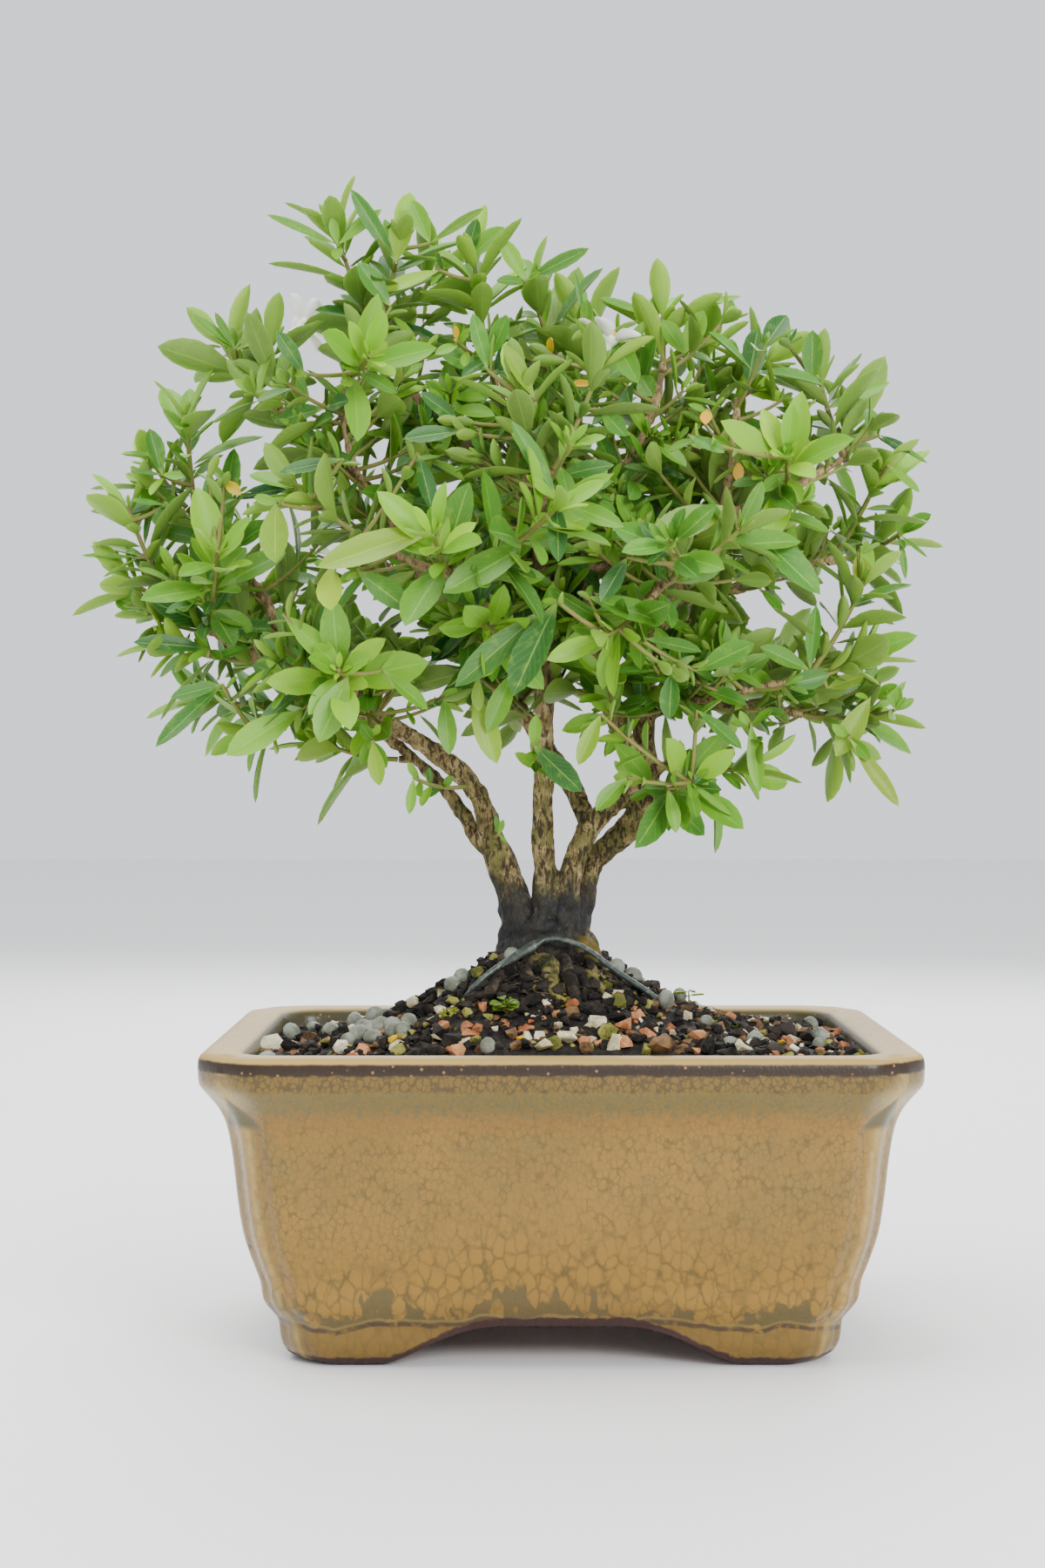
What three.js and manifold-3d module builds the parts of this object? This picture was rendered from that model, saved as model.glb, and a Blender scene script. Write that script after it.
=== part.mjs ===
// A serissa bonsai: a clump of trunks in a glazed ceramic pot, with its soil, tie wire and leafy shoots.
// Millimetres, +Z up, the front of the pot towards -Y.
// The origin is the bottom centre of the whole object's box.
import * as THREE from 'three';
import { mergeVertices } from 'three/addons/utils/BufferGeometryUtils.js';
import Module from 'manifold-3d';

const wasm = await Module();
wasm.setup();
const { Manifold } = wasm;

// Driving dimensions of the pot
const potLength = 150;
const potDepth = 118;
const potHeight = 66.3;
const rimWidth = 9;
const floorUnderside = 9.2;
const floorTop = 12.6;
const footInset = 19.6;
const footWall = 9;
const drainRadius = 5;
const drainX = 26;
const archHeight = 9;
const meshSize = 17;
const meshThickness = 0.9;
const meshHoles = 3;
const meshStrand = 1;
const frontArch = { foot: 68, crown: 27 };
const sideArch = { foot: 44, crown: 17 };

// Clearance between two pieces that rest against each other
const gap = 0.3;

// The clump: where the root crown stands, and how high the soil is heaped round it
const clumpX = -2.6;
const crownTop = 91;
const crownDepth = 61;
const soilLevel = 62;
const moundRise = 25;
const moundSpread = { x: 31, y: 31 };
const pebbleCount = 26;

// The foliage
const leafThickness = 0.66;
const leafWidth = 0.31;
const shootLength = 24;
const stemRadius = 0.65;
const stemTaper = 0.3;
const twigRadius = 0.8;
const shortTwig = 14;
const shortestReach = 12;
const lowestTwig = 121;

const fewPoints = 8;
const up = new THREE.Vector3(0, 0, 1);
const vec = (x, y, z) => new THREE.Vector3(x, y, z);

const glaze = new THREE.MeshStandardMaterial({ color: 0xb08f58, roughness: 0.18 });
const bark = new THREE.MeshStandardMaterial({ color: 0x8a6f4c, roughness: 0.9 });
const earth = new THREE.MeshStandardMaterial({ color: 0x3a302a, roughness: 0.95 });
const foliage = new THREE.MeshStandardMaterial({ color: 0x5d9a35, roughness: 0.5 });
const petalWhite = new THREE.MeshStandardMaterial({ color: 0xf4f3ea, roughness: 0.6 });
const wireGreen = new THREE.MeshStandardMaterial({ color: 0x47524a, roughness: 0.45 });
const meshPlastic = new THREE.MeshStandardMaterial({ color: 0x2b2f2c, roughness: 0.6 });

const object = new THREE.Group();

// A seeded row of numbers between 0 and 1, the same each run
function draws(seed) {
  let state = 7919 * seed + 12345;
  const next = () => {
    state = (state * 16807) % 2147483647;
    return state / 2147483647;
  };
  next();
  next();
  return next;
}

// A closed mesh as a solid that can be cut and joined
function solid(geometry) {
  const bare = geometry.index ? geometry.toNonIndexed() : geometry.clone();
  for (const name of Object.keys(bare.attributes)) if (name !== 'position') bare.deleteAttribute(name);
  const merged = mergeVertices(bare, 1e-4);
  return new Manifold(new wasm.Mesh({
    numProp: 3,
    vertProperties: new Float32Array(merged.attributes.position.array),
    triVerts: new Uint32Array(merged.index.array),
  }));
}

// A finished solid as a named mesh of the object; loose scraps are dropped
function add(name, shape, material) {
  const whole = shape.decompose().sort((a, b) => b.volume() - a.volume())[0];
  const data = whole.getMesh();
  const geometry = new THREE.BufferGeometry();
  geometry.setAttribute('position', new THREE.BufferAttribute(new Float32Array(data.vertProperties), 3));
  geometry.setIndex(new THREE.BufferAttribute(new Uint32Array(data.triVerts), 1));
  geometry.computeVertexNormals();
  const mesh = new THREE.Mesh(geometry, material);
  mesh.name = name;
  object.add(mesh);
  return whole;
}

// A closed skin over a row of rings with equal counts of points. Each end is a fan: round its middle where
// the ring has many points, and from its first point where it has few. Quads named in open are left out
function loft(rings, open = new Set()) {
  const count = rings[0].length;
  const points = rings.flat();
  const faces = [];
  for (let ring = 0; ring + 1 < rings.length; ring++) {
    for (let i = 0; i < count; i++) {
      const [a, b] = [ring * count + i, ring * count + (i + 1) % count];
      if (!open.has(a)) faces.push(a, b, b + count, a, b + count, a + count);
    }
  }
  for (const [first, turned] of [[0, true], [points.length - count, false]]) {
    const ends = Array.from({ length: count }, (_, i) => first + i);
    let hub = ends[0];
    if (count > fewPoints) {
      const middle = ends.reduce((sum, i) => sum.add(points[i]), vec(0, 0, 0)).divideScalar(count);
      hub = points.push(middle) - 1;
    }
    ends.forEach((a, i) => {
      const b = ends[(i + 1) % count];
      if (a !== hub && b !== hub) faces.push(hub, turned ? b : a, turned ? a : b);
    });
  }
  return { points, faces };
}

const skin = ({ points, faces }) => new THREE.BufferGeometry().setFromPoints(points).setIndex(faces);

// A round bar along a smooth line; radii are given for the line's own points and run evenly between them
function bar(line, radii, sides, steps) {
  const curve = new THREE.CatmullRomCurve3(line);
  const rings = [];
  let across = null;
  for (let step = 0; step <= steps; step++) {
    const t = step / steps;
    const along = curve.getTangent(t);
    across = (across ?? (Math.abs(along.z) < 0.9 ? up.clone() : vec(0, 1, 0)));
    across = across.clone().addScaledVector(along, -across.dot(along)).normalize();
    const other = along.clone().cross(across);
    const place = t * (radii.length - 1);
    const before = Math.min(Math.floor(place), radii.length - 2);
    const radius = THREE.MathUtils.lerp(radii[before], radii[before + 1], place - before);
    const middle = curve.getPoint(t);
    rings.push(Array.from({ length: sides }, (_, i) => {
      const turn = (i / sides) * 2 * Math.PI;
      return middle.clone()
        .addScaledVector(across, radius * Math.cos(turn))
        .addScaledVector(other, radius * Math.sin(turn));
    }));
  }
  return solid(skin(loft(rings)));
}

const ribbedCorner = [0, 0.2, 0.38, 0.5, 0.62, 0.8, 1];
const straightCorner = [0, 1];

// The pot's plan at one height: a rectangle with canted corners, each with a rib between two flutes
function plan(inset, cant, rib, z, shares = ribbedCorner) {
  const [a, b] = [potLength / 2 - inset, potDepth / 2 - inset];
  const corner = shares.map((u) => {
    const out = (rib * (Math.sin(Math.PI * u) ** 10 - Math.sin(2 * Math.PI * u) ** 2)) / Math.SQRT2;
    return [a - cant * u + out, b - cant * (1 - u) + out];
  });
  const turned = corner.slice().reverse();
  return [
    ...corner,
    ...turned.map(([x, y]) => [-x, y]),
    ...corner.map(([x, y]) => [-x, -y]),
    ...turned.map(([x, y]) => [x, -y]),
  ].map(([x, y]) => vec(x, y, z));
}

// Outside of the pot from the foot to the lip, then down the inside: height, inset, cant, rib
const potOutside = [
  [0, footInset, 8, 0.3], [1.6, 17.3, 8, 0.5], [4.4, 16, 8, 0.6], [8.6, 15.5, 8, 0.7], [10.4, 14.4, 8, 0.9],
  [13.4, 12.6, 8, 1.1], [17.5, 11.9, 8.2, 1.2], [22, 10.4, 8.4, 1.3], [28, 8.7, 8.6, 1.3],
  [35.5, 7.6, 8.8, 1.2], [44, 6.7, 9, 1.1], [50.5, 5.6, 9.4, 0.9], [54.4, 4, 10, 0.6],
  [57.2, 1.9, 11, 0.2], [59.4, 0.3, 11.5, 0], [64.4, 0, 11.5, 0], [65.8, 0.7, 11.4, 0],
  [potHeight, 2.2, 11, 0],
];
const potInside = [
  [potHeight - 0.3, rimWidth - 0.6, 8.5, 0], [64.4, rimWidth + 0.4, 8, 0], [55, 11, 8, 0], [30, 14.5, 7.5, 0],
  [floorTop, 21, 7, 0],
];

function scallop({ foot, crown }, length) {
  const shape = new THREE.Shape();
  shape.moveTo(-foot / 2, -1);
  shape.lineTo(-foot / 2, 0.01);
  shape.bezierCurveTo(-foot * 0.36, 0.3, -crown * 0.85, archHeight, -crown / 2, archHeight);
  shape.lineTo(crown / 2, archHeight);
  shape.bezierCurveTo(crown * 0.85, archHeight, foot * 0.36, 0.3, foot / 2, 0.01);
  shape.lineTo(foot / 2, -1);
  const cut = new THREE.ExtrudeGeometry(shape, { depth: length, bevelEnabled: false, curveSegments: 6 });
  cut.translate(0, 0, -length / 2);
  return cut.rotateX(Math.PI / 2);
}

function pot() {
  const rings = [...potOutside, ...potInside].map(([z, inset, cant, rib]) => plan(inset, cant, rib, z));
  const recess = [[-1, footInset + footWall], [floorUnderside, footInset + footWall - 1.7]];
  const body = solid(skin(loft(rings)));
  const cuts = [
    solid(skin(loft(recess.map(([z, inset]) => plan(inset, 6, 0, z, straightCorner))))),
    solid(scallop(frontArch, potDepth)),
    solid(scallop(sideArch, potLength).rotateZ(Math.PI / 2)),
  ];
  for (const side of [-1, 1]) {
    const drain = new THREE.CylinderGeometry(drainRadius, drainRadius, 10, 12).rotateX(Math.PI / 2);
    cuts.push(solid(drain.translate(side * drainX, 0, floorTop)));
  }
  return add('pot', Manifold.difference([body, ...cuts]), glaze);
}

// A square of plastic netting over each drain hole, to keep the soil in
function drainageMesh(name, x) {
  const z = floorTop + gap / 2 + meshThickness / 2;
  const block = (size, high, px, py) => solid(new THREE.BoxGeometry(size, size, high).translate(px, py, z));
  const pitch = (meshSize - meshStrand) / meshHoles;
  const shapes = [block(meshSize, meshThickness, x, 0)];
  for (let i = 0; i < meshHoles; i++) {
    for (let j = 0; j < meshHoles; j++) {
      const [px, py] = [i, j].map((k) => (k - (meshHoles - 1) / 2) * pitch);
      shapes.push(block(pitch - meshStrand, 2 * meshThickness, x + px, py));
    }
  }
  return add(name, Manifold.difference(shapes), meshPlastic);
}

// The tie wire: one bent wire that runs under the floor, up through both drains, and over the heaped roots
const wireRadius = 0.85;
const wireLine = [
  [-6, 0, 7.2], [3 - drainX, 0, 7.2], [-drainX, 0, 10.6], [-drainX, 0, 19], [-27, -8, 48], [-26, -14, 65],
  [-20, -16, 75.5], [-9, -12, 84.6], [-2, -11, 87.2], [5, -11.4, 85.6], [14, -13.5, 79], [22, -16, 73.6],
  [27.5, -17, 67.5], [27, -10, 49], [drainX, 0, 19], [drainX, 0, 10.6], [drainX - 3, 0, 7.2], [7, 0, 7.2],
].map((p) => vec(...p));
const tieWire = (extra) => bar(wireLine, [wireRadius + extra, wireRadius + extra], 5, wireLine.length - 1);

// Main limbs, as x, y, z and radius at points from the root outwards
const limbs = {
  trunkLeft: [[-6, 0, 69, 5], [-8.5, 0, 89, 4.3], [-10.5, 0, 97, 3.7], [-13.4, 0, 105, 3.5],
    [-15, 0, 109.5, 2.9], [-16.5, -1, 115.5, 2.5], [-19.5, -1, 121, 2.3], [-24, -2, 125.6, 2.2],
    [-36, -3, 133.6, 2], [-53, -4, 142, 1.7], [-66, -5, 148.8, 1.5], [-78, -4.4, 156, 1.2],
    [-86, -4, 161.5, 0.9]],
  trunkLeftThin: [[-13.4, 0, 104, 2.4], [-17.4, 2, 108.2, 1.9], [-24, 5, 118, 1.6], [-32.8, 8, 127, 1.4],
    [-42, 12, 134, 1.3], [-54, 17, 142, 1.1], [-68, 23, 153, 0.9]],
  trunkMiddle: [[-2.2, -2, 69, 4], [-2.4, -3, 89, 3.4], [-3.1, -4, 99, 2.7], [-3.3, -4, 121, 2.4],
    [-3, -4, 148, 2.3], [-3, -3, 170, 2], [-7, -2, 184, 1.7], [-10, -1, 199, 1.4], [-15, 0, 213, 1.1]],
  trunkRight: [[2, 0, 69, 5], [4, 1, 91, 3.9], [7.4, 2, 103, 3], [12.4, 2, 108, 3], [18, 1, 114, 3.1],
    [19.6, 0, 122, 3.1], [19.4, 0, 130, 2.5], [19, 1, 141, 2.1], [21, 2, 153, 1.9], [26.5, 3, 165, 1.6],
    [29.5, 3, 178, 1.4], [31, 2, 193, 1.2], [28.5, 0, 207, 0.9]],
  trunkInner: [[1.8, -3, 73, 3.6], [2, -4, 93, 2.9], [3.6, -4, 104, 2.6], [8.2, -3, 113, 2.5],
    [13, -2, 117, 2.4], [18, -1, 121.5, 2.4]],
  risingMiddle: [[18.4, -1, 120, 2.7], [16.6, -3, 126, 2.5], [12.4, -5, 137, 2.3], [8.2, -6, 150, 2],
    [6, -6, 160, 1.8], [8, -5, 173, 1.6], [10.5, -2, 189, 1.3], [12.5, 2, 207, 0.9]],
  crossingLeft: [[7, -2, 111.5, 2.3], [4.4, 3, 118, 2.1], [-2.4, 7, 129, 2], [-9.6, 6, 139.5, 1.9],
    [-20, 1, 152.5, 1.7], [-31, -6, 169, 1.5], [-40, -12, 184, 1.3], [-52, -14, 195, 1.1],
    [-61, -14, 203, 0.9]],
  rightUpper: [[7.6, -5, 168, 1.7], [18, -14, 172, 1.5], [34, -18, 178.5, 1.4], [50, -16, 185.5, 1.2],
    [63, -10, 193, 1]],
  rightMiddle: [[26, 3, 163, 1.5], [38, 4, 164.5, 1.2], [51, 5, 169, 1.1], [61, 3.5, 171.5, 0.9]],
  rightLower: [[19.2, 0, 137, 1.7], [30, -8, 139.5, 1.2], [42, -13, 142, 1], [54, -14, 144.5, 0.8]],
  rightLowest: [[28, -6, 139, 1.1], [40, -2, 139, 1], [52, 0, 137.5, 0.9], [60, 2, 136.5, 0.7]],
  rightSpur: [[19.4, 0, 123, 1.8], [26, -3, 126.5, 1.1], [34, -6, 129.5, 0.8]],
  rightUpright: [[36, -17, 179, 1.2], [37.5, -16, 193, 1], [39, -14, 206, 0.8]],
  prunedStub: [[9, -5, 181, 1.4], [16, -12, 193, 1.2], [20, -15, 202, 1.1], [22.6, -16, 211, 1]],
  leftUpper: [[-9, -2, 187, 1.5], [-21, -2, 196, 1.3], [-32, -1, 208, 1.1], [-41, 0, 222, 0.8]],
  leftUpright: [[-42, -12, 185, 1.2], [-46, -20, 195, 0.9], [-46, -24, 209, 0.7]],
  leftFar: [[-58, -4, 144, 1.5], [-64, 2, 159, 1.2], [-73, 5, 173, 1], [-82, 5, 182, 0.8]],
  middleTop: [[-9.5, -1, 193, 1.3], [-4, 4, 206, 1.1], [0, 7, 218, 0.8]],
  frontLeft: [[-3, -4, 143, 2], [-9, -16, 153, 1.4], [-17, -32, 160, 1], [-23, -42, 165, 0.8]],
  frontRight: [[8, -6, 153, 1.8], [14, -20, 159, 1.3], [21, -33, 163, 1], [27, -44, 167, 0.8]],
  frontMiddle: [[-3, -3, 163, 1.8], [-5, -16, 175, 1.3], [-4, -32, 181, 1], [-4, -44, 183, 0.8]],
  frontFarLeft: [[-40, -3, 135.5, 1.7], [-44, -16, 141, 1.2], [-47, -28, 144, 0.9]],
  backLeft: [[-6, 7, 134, 1.9], [-14, 20, 147, 1.4], [-27, 33, 160, 1.1], [-40, 40, 173, 0.8]],
  backMiddle: [[-3, -2, 153, 2], [-4, 14, 165, 1.4], [-3, 30, 177, 1.1], [-3, 40, 191, 0.8]],
  backRight: [[20, 2, 149, 1.8], [25, 17, 156, 1.3], [32, 31, 163, 1.1], [40, 38, 171, 0.8]],
};

// Tips of the leafy shoots, chosen to give the crown its uneven outline: x, y, z
const shootTips = [
  [-50, 0, 246], [-35, -8, 241], [-27, 10, 239], [-19, -6, 239], [-6, 0, 232], [5, 10, 227], [23, -10, 225],
  [34, 4, 220], [48, 5, 217], [58, -6, 211], [66, 2, 204], [72, -4, 191], [75, 8, 177], [67, -14, 166],
  [66, -16, 149], [70, -2, 137], [66, 12, 131], [43, -10, 125], [29, -24, 122],
  [-76, 4, 221], [-64, -6, 219], [-83, -4, 204], [-91, 4, 193], [-96, -4, 183], [-97, 0, 168], [-87, -8, 153],
  [-82, 8, 141], [-68, -10, 133], [-54, 4, 131], [-42, -14, 137],
  [-1, -60, 177], [-26, -56, 172], [-56, -38, 184], [-46, -44, 145], [37, -48, 174], [-9, -42, 204],
  [-40, -38, 211], [8.5, -42, 209], [9, -46, 152], [48, -32, 191], [-14, -42, 153], [-73, -28, 171],
  [-58, 40, 191], [-72, 34, 163], [-30, 46, 209], [-2, 54, 199], [30, 46, 199], [56, 34, 181], [-20, 52, 167],
  [24, 52, 165], [-46, 44, 153], [50, 38, 151], [2, 28, 229],
];

const floweringShoot = 37;

// A row of [x, y, z, radius] as a round bar with a ring at each of its points
function limb(line, sides, extra = 0) {
  return bar(line.map(([x, y, z]) => vec(x, y, z)), line.map((p) => p[3] + extra), sides, line.length - 1);
}

// The root crown, buried below and flaring into surface roots that run out over the mound
const crownRings = [[crownDepth, 10, 8], [71, 13, 10.5], [81, 12.4, 10], [87, 10.6, 8.4], [crownTop, 8, 5.4]];
const crownSides = 9;
const surfaceRoots = [208, 256, 318, 60, 130];
const rootReach = [8, 16, 25];
const rootRadii = [2.6, 1.7, 0.9];

function soilHeight(x, y) {
  const spread = ((x - clumpX) / moundSpread.x) ** 2 + (y / moundSpread.y) ** 2;
  const tilt = 2.2 * (x / potLength) - 2.4 * (y / potDepth);
  const lumps = 0.5 * Math.sin(0.55 * x + 1.3 * Math.sin(0.31 * y)) * Math.cos(0.47 * y + 0.8);
  return soilLevel + tilt + lumps + moundRise * Math.exp(-(spread ** 0.75));
}

function rootCrown(extra) {
  const rings = crownRings.map(([z, rx, ry], row) => Array.from({ length: crownSides }, (_, i) => {
    const turn = (i / crownSides) * 2 * Math.PI;
    const lobes = 1 + 0.09 * Math.sin(3 * turn + row);
    const drop = row === 0 ? -extra : extra * (row / crownRings.length);
    const [x, y] = [(rx * lobes + extra) * Math.cos(turn), (ry * lobes + extra) * Math.sin(turn)];
    return vec(clumpX + x, y, z + drop);
  }));
  const pieces = [solid(skin(loft(rings)))];
  for (const degrees of surfaceRoots) {
    const turn = THREE.MathUtils.degToRad(degrees);
    const line = rootReach.map((reach, i) => {
      const [x, y] = [clumpX + reach * Math.cos(turn), 0.85 * reach * Math.sin(turn)];
      return [x, y, soilHeight(x, y) - 0.4 * rootRadii[i], rootRadii[i]];
    });
    pieces.push(limb(line, 5, extra));
  }
  return Manifold.union(pieces);
}

// Soil: a lumpy mound with pebbles, cut to the pot's inside and to everything that stands in it
const soilCell = 8.5;
const pebbleRoom = 26;

function soilGround() {
  const [columns, rows] = [Math.ceil(potLength / soilCell), Math.ceil(potDepth / soilCell)];
  const ground = new THREE.BoxGeometry(potLength, potDepth, 1, columns, rows, 1);
  const place = ground.attributes.position;
  for (let i = 0; i < place.count; i++) {
    const [x, y, top] = [place.getX(i), place.getY(i), place.getZ(i) > 0];
    place.setZ(i, top ? soilHeight(x, y) : floorTop - 1);
  }
  return solid(ground);
}

function pebbles() {
  const draw = draws(5);
  return Array.from({ length: pebbleCount }, () => {
    const [x, y] = [(draw() - 0.5) * (potLength - pebbleRoom), (draw() - 0.5) * (potDepth - pebbleRoom)];
    const size = 1.5 + 1.1 * draw() ** 2;
    const stone = new THREE.OctahedronGeometry(size, 0).rotateX(3 * draw()).rotateY(3 * draw());
    return solid(stone.scale(1, 1, 0.8).translate(x, y, soilHeight(x, y) + 0.25 * size));
  });
}

function soil(standing) {
  const walls = [
    [floorTop + gap, 21], [30, 14.5], [55, 11], [64.4, rimWidth + 0.4], [crownTop + 20, rimWidth],
  ];
  const inside = solid(skin(loft(walls.map(([z, inset]) => plan(inset + gap, 7.5, 0, z, straightCorner)))));
  const meshSpaces = [-1, 1].map((side) => {
    const [wide, high] = [meshSize + 2 * gap, 2 * (meshThickness + 2 * gap)];
    const space = new THREE.BoxGeometry(wide, wide, high);
    return solid(space.translate(side * drainX, 0, floorTop));
  });
  const heap = Manifold.intersection([Manifold.union([soilGround(), ...pebbles()]), inside]);
  return add('soil', Manifold.difference([heap, ...meshSpaces, ...standing]), earth);
}

// The point of the branches that a shoot springs from: the nearest, with higher ones counted as farther away
function springPoint(tip) {
  let best = { cost: Infinity };
  for (const line of Object.values(limbs)) {
    for (const [x, y, z, radius] of line.slice(1)) {
      const point = vec(x, y, z);
      const distance = point.distanceTo(tip);
      const cost = distance + 1.2 * Math.max(0, z + 8 - tip.z);
      if (z > lowestTwig && distance > shortestReach && cost < best.cost) best = { cost, point, radius };
    }
  }
  return best;
}

// A twig and the green shoot beyond it share one bowed line, with a small clearance where the shoot begins
function shootLine(tip) {
  const { point, radius } = springPoint(tip);
  const reach = point.distanceTo(tip);
  const bend = point.clone().lerp(tip, 0.5).addScaledVector(up, -0.14 * reach);
  const start = Math.max((radius + 2) / reach, 1 - shootLength / reach);
  return { curve: new THREE.QuadraticBezierCurve3(point, bend, tip), start, reach };
}

function twig({ curve, start, reach }) {
  const steps = start * reach > shortTwig ? 2 : 1;
  const line = Array.from({ length: steps + 1 }, (_, i) => curve.getPoint((start * i) / steps));
  return bar(line, [twigRadius * 1.3, twigRadius], 3, steps);
}

// Points of a leaf: share of its length from the base, half-widths to the side, and half-widths of lift
const leafEdge = [[0.36, 0.85, 0.3], [0.7, 0.9, 0.34]];

function leafPoint({ base, along, face, length, width, droop }, [share, out, lift], margin = 0, depth = 0) {
  const side = along.clone().cross(face);
  const wide = width / 2;
  const drop = droop * length * (out === 0 ? share : share * share);
  return base.clone()
    .addScaledVector(along, length * share)
    .addScaledVector(side, wide * out + margin * Math.sign(out))
    .addScaledVector(face, wide * lift - drop + depth);
}

// The space that a leaf takes up from a share of its length onwards, with a margin round it
function leafSpace(leaf, margin, from) {
  const stations = [[from, 0.2, 0], ...leafEdge, [1 + margin / leaf.length, 0.02, 0]];
  const half = leafThickness / 2 + margin;
  const rings = stations.map(([share, out, lift]) => [[-1, 1], [0, 1], [1, 1], [1, -1], [0, -1], [-1, -1]]
    .map(([i, j]) => leafPoint(leaf, [share, out * i, i ? lift : 0], margin, half * j)));
  return solid(skin(loft(rings)));
}

// Raises a leaf from one quad of a stem: a folded blade with its rib down the middle
function raiseLeaf({ points, faces }, [a, b, c, d], leaf) {
  const half = leafThickness / 2;
  const place = (row, way, depth) => {
    const [share, out, lift] = leafEdge[row];
    return points.push(leafPoint(leaf, [share, way * out, lift], 0, depth)) - 1;
  };
  const [p1, p2, q2, q1] = [[0, 1], [1, 1], [1, -1], [0, -1]].map(([row, way]) => place(row, way, half));
  const [u1, u2, v2, v1] = [[0, 1], [1, 1], [1, -1], [0, -1]].map(([row, way]) => place(row, way, -half));
  const tip = points.push(leafPoint(leaf, [1, 0, 0])) - 1;
  faces.push(d, p1, p2, d, p2, tip, d, tip, c, c, tip, q2, c, q2, q1);
  faces.push(a, u2, u1, a, tip, u2, a, b, tip, b, v2, tip, b, v1, v2);
  faces.push(p1, d, a, p1, a, u1, p2, p1, u1, p2, u1, u2, tip, p2, u2);
  faces.push(q2, tip, v2, q1, q2, v2, q1, v2, v1, c, q1, v1, c, v1, b);
}

// Corners of quad number i on the ring that begins at point `ring`, in a loft with `count` points a ring
function quadOf(ring, i, count) {
  const [a, b] = [ring + i, ring + ((i + 1) % count)];
  return [a, b, b + count, a + count];
}

// Leaf pairs from the shoot's tip down: distance along the stem, length, and angle from the stem in degrees
const pairs = [[1.2, 12.5, 26], [5, 16.5, 46], [10.5, 18, 60], [17.5, 16, 72]];
// The turns, in degrees, by which a leaf in another's way is moved aside: round the stem, and away from it
const leastLean = 20;
const asides = [[0, 0], [14, 8], [-14, 8], [8, -14], [-22, -10], [26, 16]];

// Directions across a shoot at t, turned round its stem by an angle in degrees
function across(curve, t, degrees) {
  const axis = curve.getTangent(t);
  const chord = curve.v2.clone().sub(curve.v0);
  const level = vec(-chord.y, chord.x, 0).normalize();
  return { axis, out: level.applyAxisAngle(axis, THREE.MathUtils.degToRad(degrees)) };
}

function leafPlaces(number, { reach }) {
  const draw = draws(number + 11);
  const firstRoll = 90 * draw();
  const rows = pairs.map(([down, length, angle], pair) => {
    const leaves = [0, 180].map((opposite) => ({
      roll: firstRoll + 90 * pair + opposite,
      turn: 24 * (draw() - 0.5),
      length: length * (0.88 + 0.24 * draw()),
      lean: angle + 16 * (draw() - 0.5),
      droop: 0.04 + 0.14 * draw(),
    }));
    const halfBand = leafThickness / 2 / Math.sin(THREE.MathUtils.degToRad(angle));
    return { t: 1 - down / reach, half: halfBand / reach, leaves };
  });
  return { firstRoll, rows };
}

function leafAt(curve, t, { roll, turn, length, lean, droop }, [turnAside, leanAside]) {
  const { out: faceOut } = across(curve, t, roll);
  const { axis, out } = across(curve, t, roll + turn + turnAside);
  const tilt = THREE.MathUtils.degToRad(Math.max(lean + leanAside, leastLean));
  const along = axis.clone().multiplyScalar(Math.cos(tilt)).addScaledVector(out, Math.sin(tilt));
  const face = axis.clone().addScaledVector(along, -axis.dot(along)).normalize();
  const base = curve.getPoint(t).addScaledVector(faceOut, stemRadius * 0.7);
  return { base, along, face, length, width: length * leafWidth, droop };
}

const boxesMeet = (a, b) => [0, 1, 2].every((i) => a.min[i] <= b.max[i] && b.min[i] <= a.max[i]);

function isClear(probe, others) {
  const box = probe.boundingBox();
  return others.every((other) => !boxesMeet(box, other.boundingBox()) || probe.intersect(other).isEmpty());
}

// The space of a shoot's bare stem, which the leaves of other shoots keep clear of
function stemSpace({ curve, start }) {
  const line = [0, 0.5, 1].map((share) => curve.getPoint(start + (1 - start) * share));
  return bar(line, [stemRadius * 1.2, stemRadius * 1.2], 4, 2);
}

// A green stem, four-sided, with a narrow band for each pair of leaves that is raised from two of its faces
function leafyShoot(number, line, others) {
  const { curve, start, reach } = line;
  const foot = start + gap / reach;
  const { firstRoll, rows } = leafPlaces(number, line);
  const bands = rows.filter(({ t, half }) => t - half > foot + 0.5 / reach).reverse();
  const stations = [foot, ...bands.flatMap(({ t, half }) => [t - half, t + half]), 1];
  const rings = stations.map((t) => [-45, 45, 135, 225].map((corner) => {
    const { out } = across(curve, t, firstRoll + corner);
    return curve.getPoint(t).addScaledVector(out, stemRadius * (1.1 - stemTaper * t));
  }));
  const grown = [];
  const taken = [];
  bands.forEach(({ t, leaves }, band) => {
    for (const leaf of leaves) {
      const quarter = Math.round((leaf.roll - firstRoll) / 90) % 4;
      const ring = 4 * (2 * band + 1);
      const leafHere = asides.map((aside) => leafAt(curve, t, leaf, aside)).find((candidate) => (
        isClear(leafSpace(candidate, 0.1, 0.3), taken) && isClear(leafSpace(candidate, 0.2, 0.06), others)));
      if (!leafHere) continue;
      taken.push(leafSpace(leafHere, 0, 0.3));
      grown.push([quadOf(ring, quarter, 4), leafHere]);
    }
  });
  const shell = loft(rings, new Set(grown.map(([quad]) => quad[0])));
  for (const [quad, leaf] of grown) raiseLeaf(shell, quad, leaf);
  return solid(skin(shell));
}

// The open flower on the tip of its shoot: a tube that widens upwards, with five petals raised from its band
const flowerTube = [[0, 0.7], [3.2, 0.9], [4.4, 1.7], [5.1, 1.8], [5.5, 0.9]];
const petalBand = 2;
const petalLength = 7;

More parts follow.
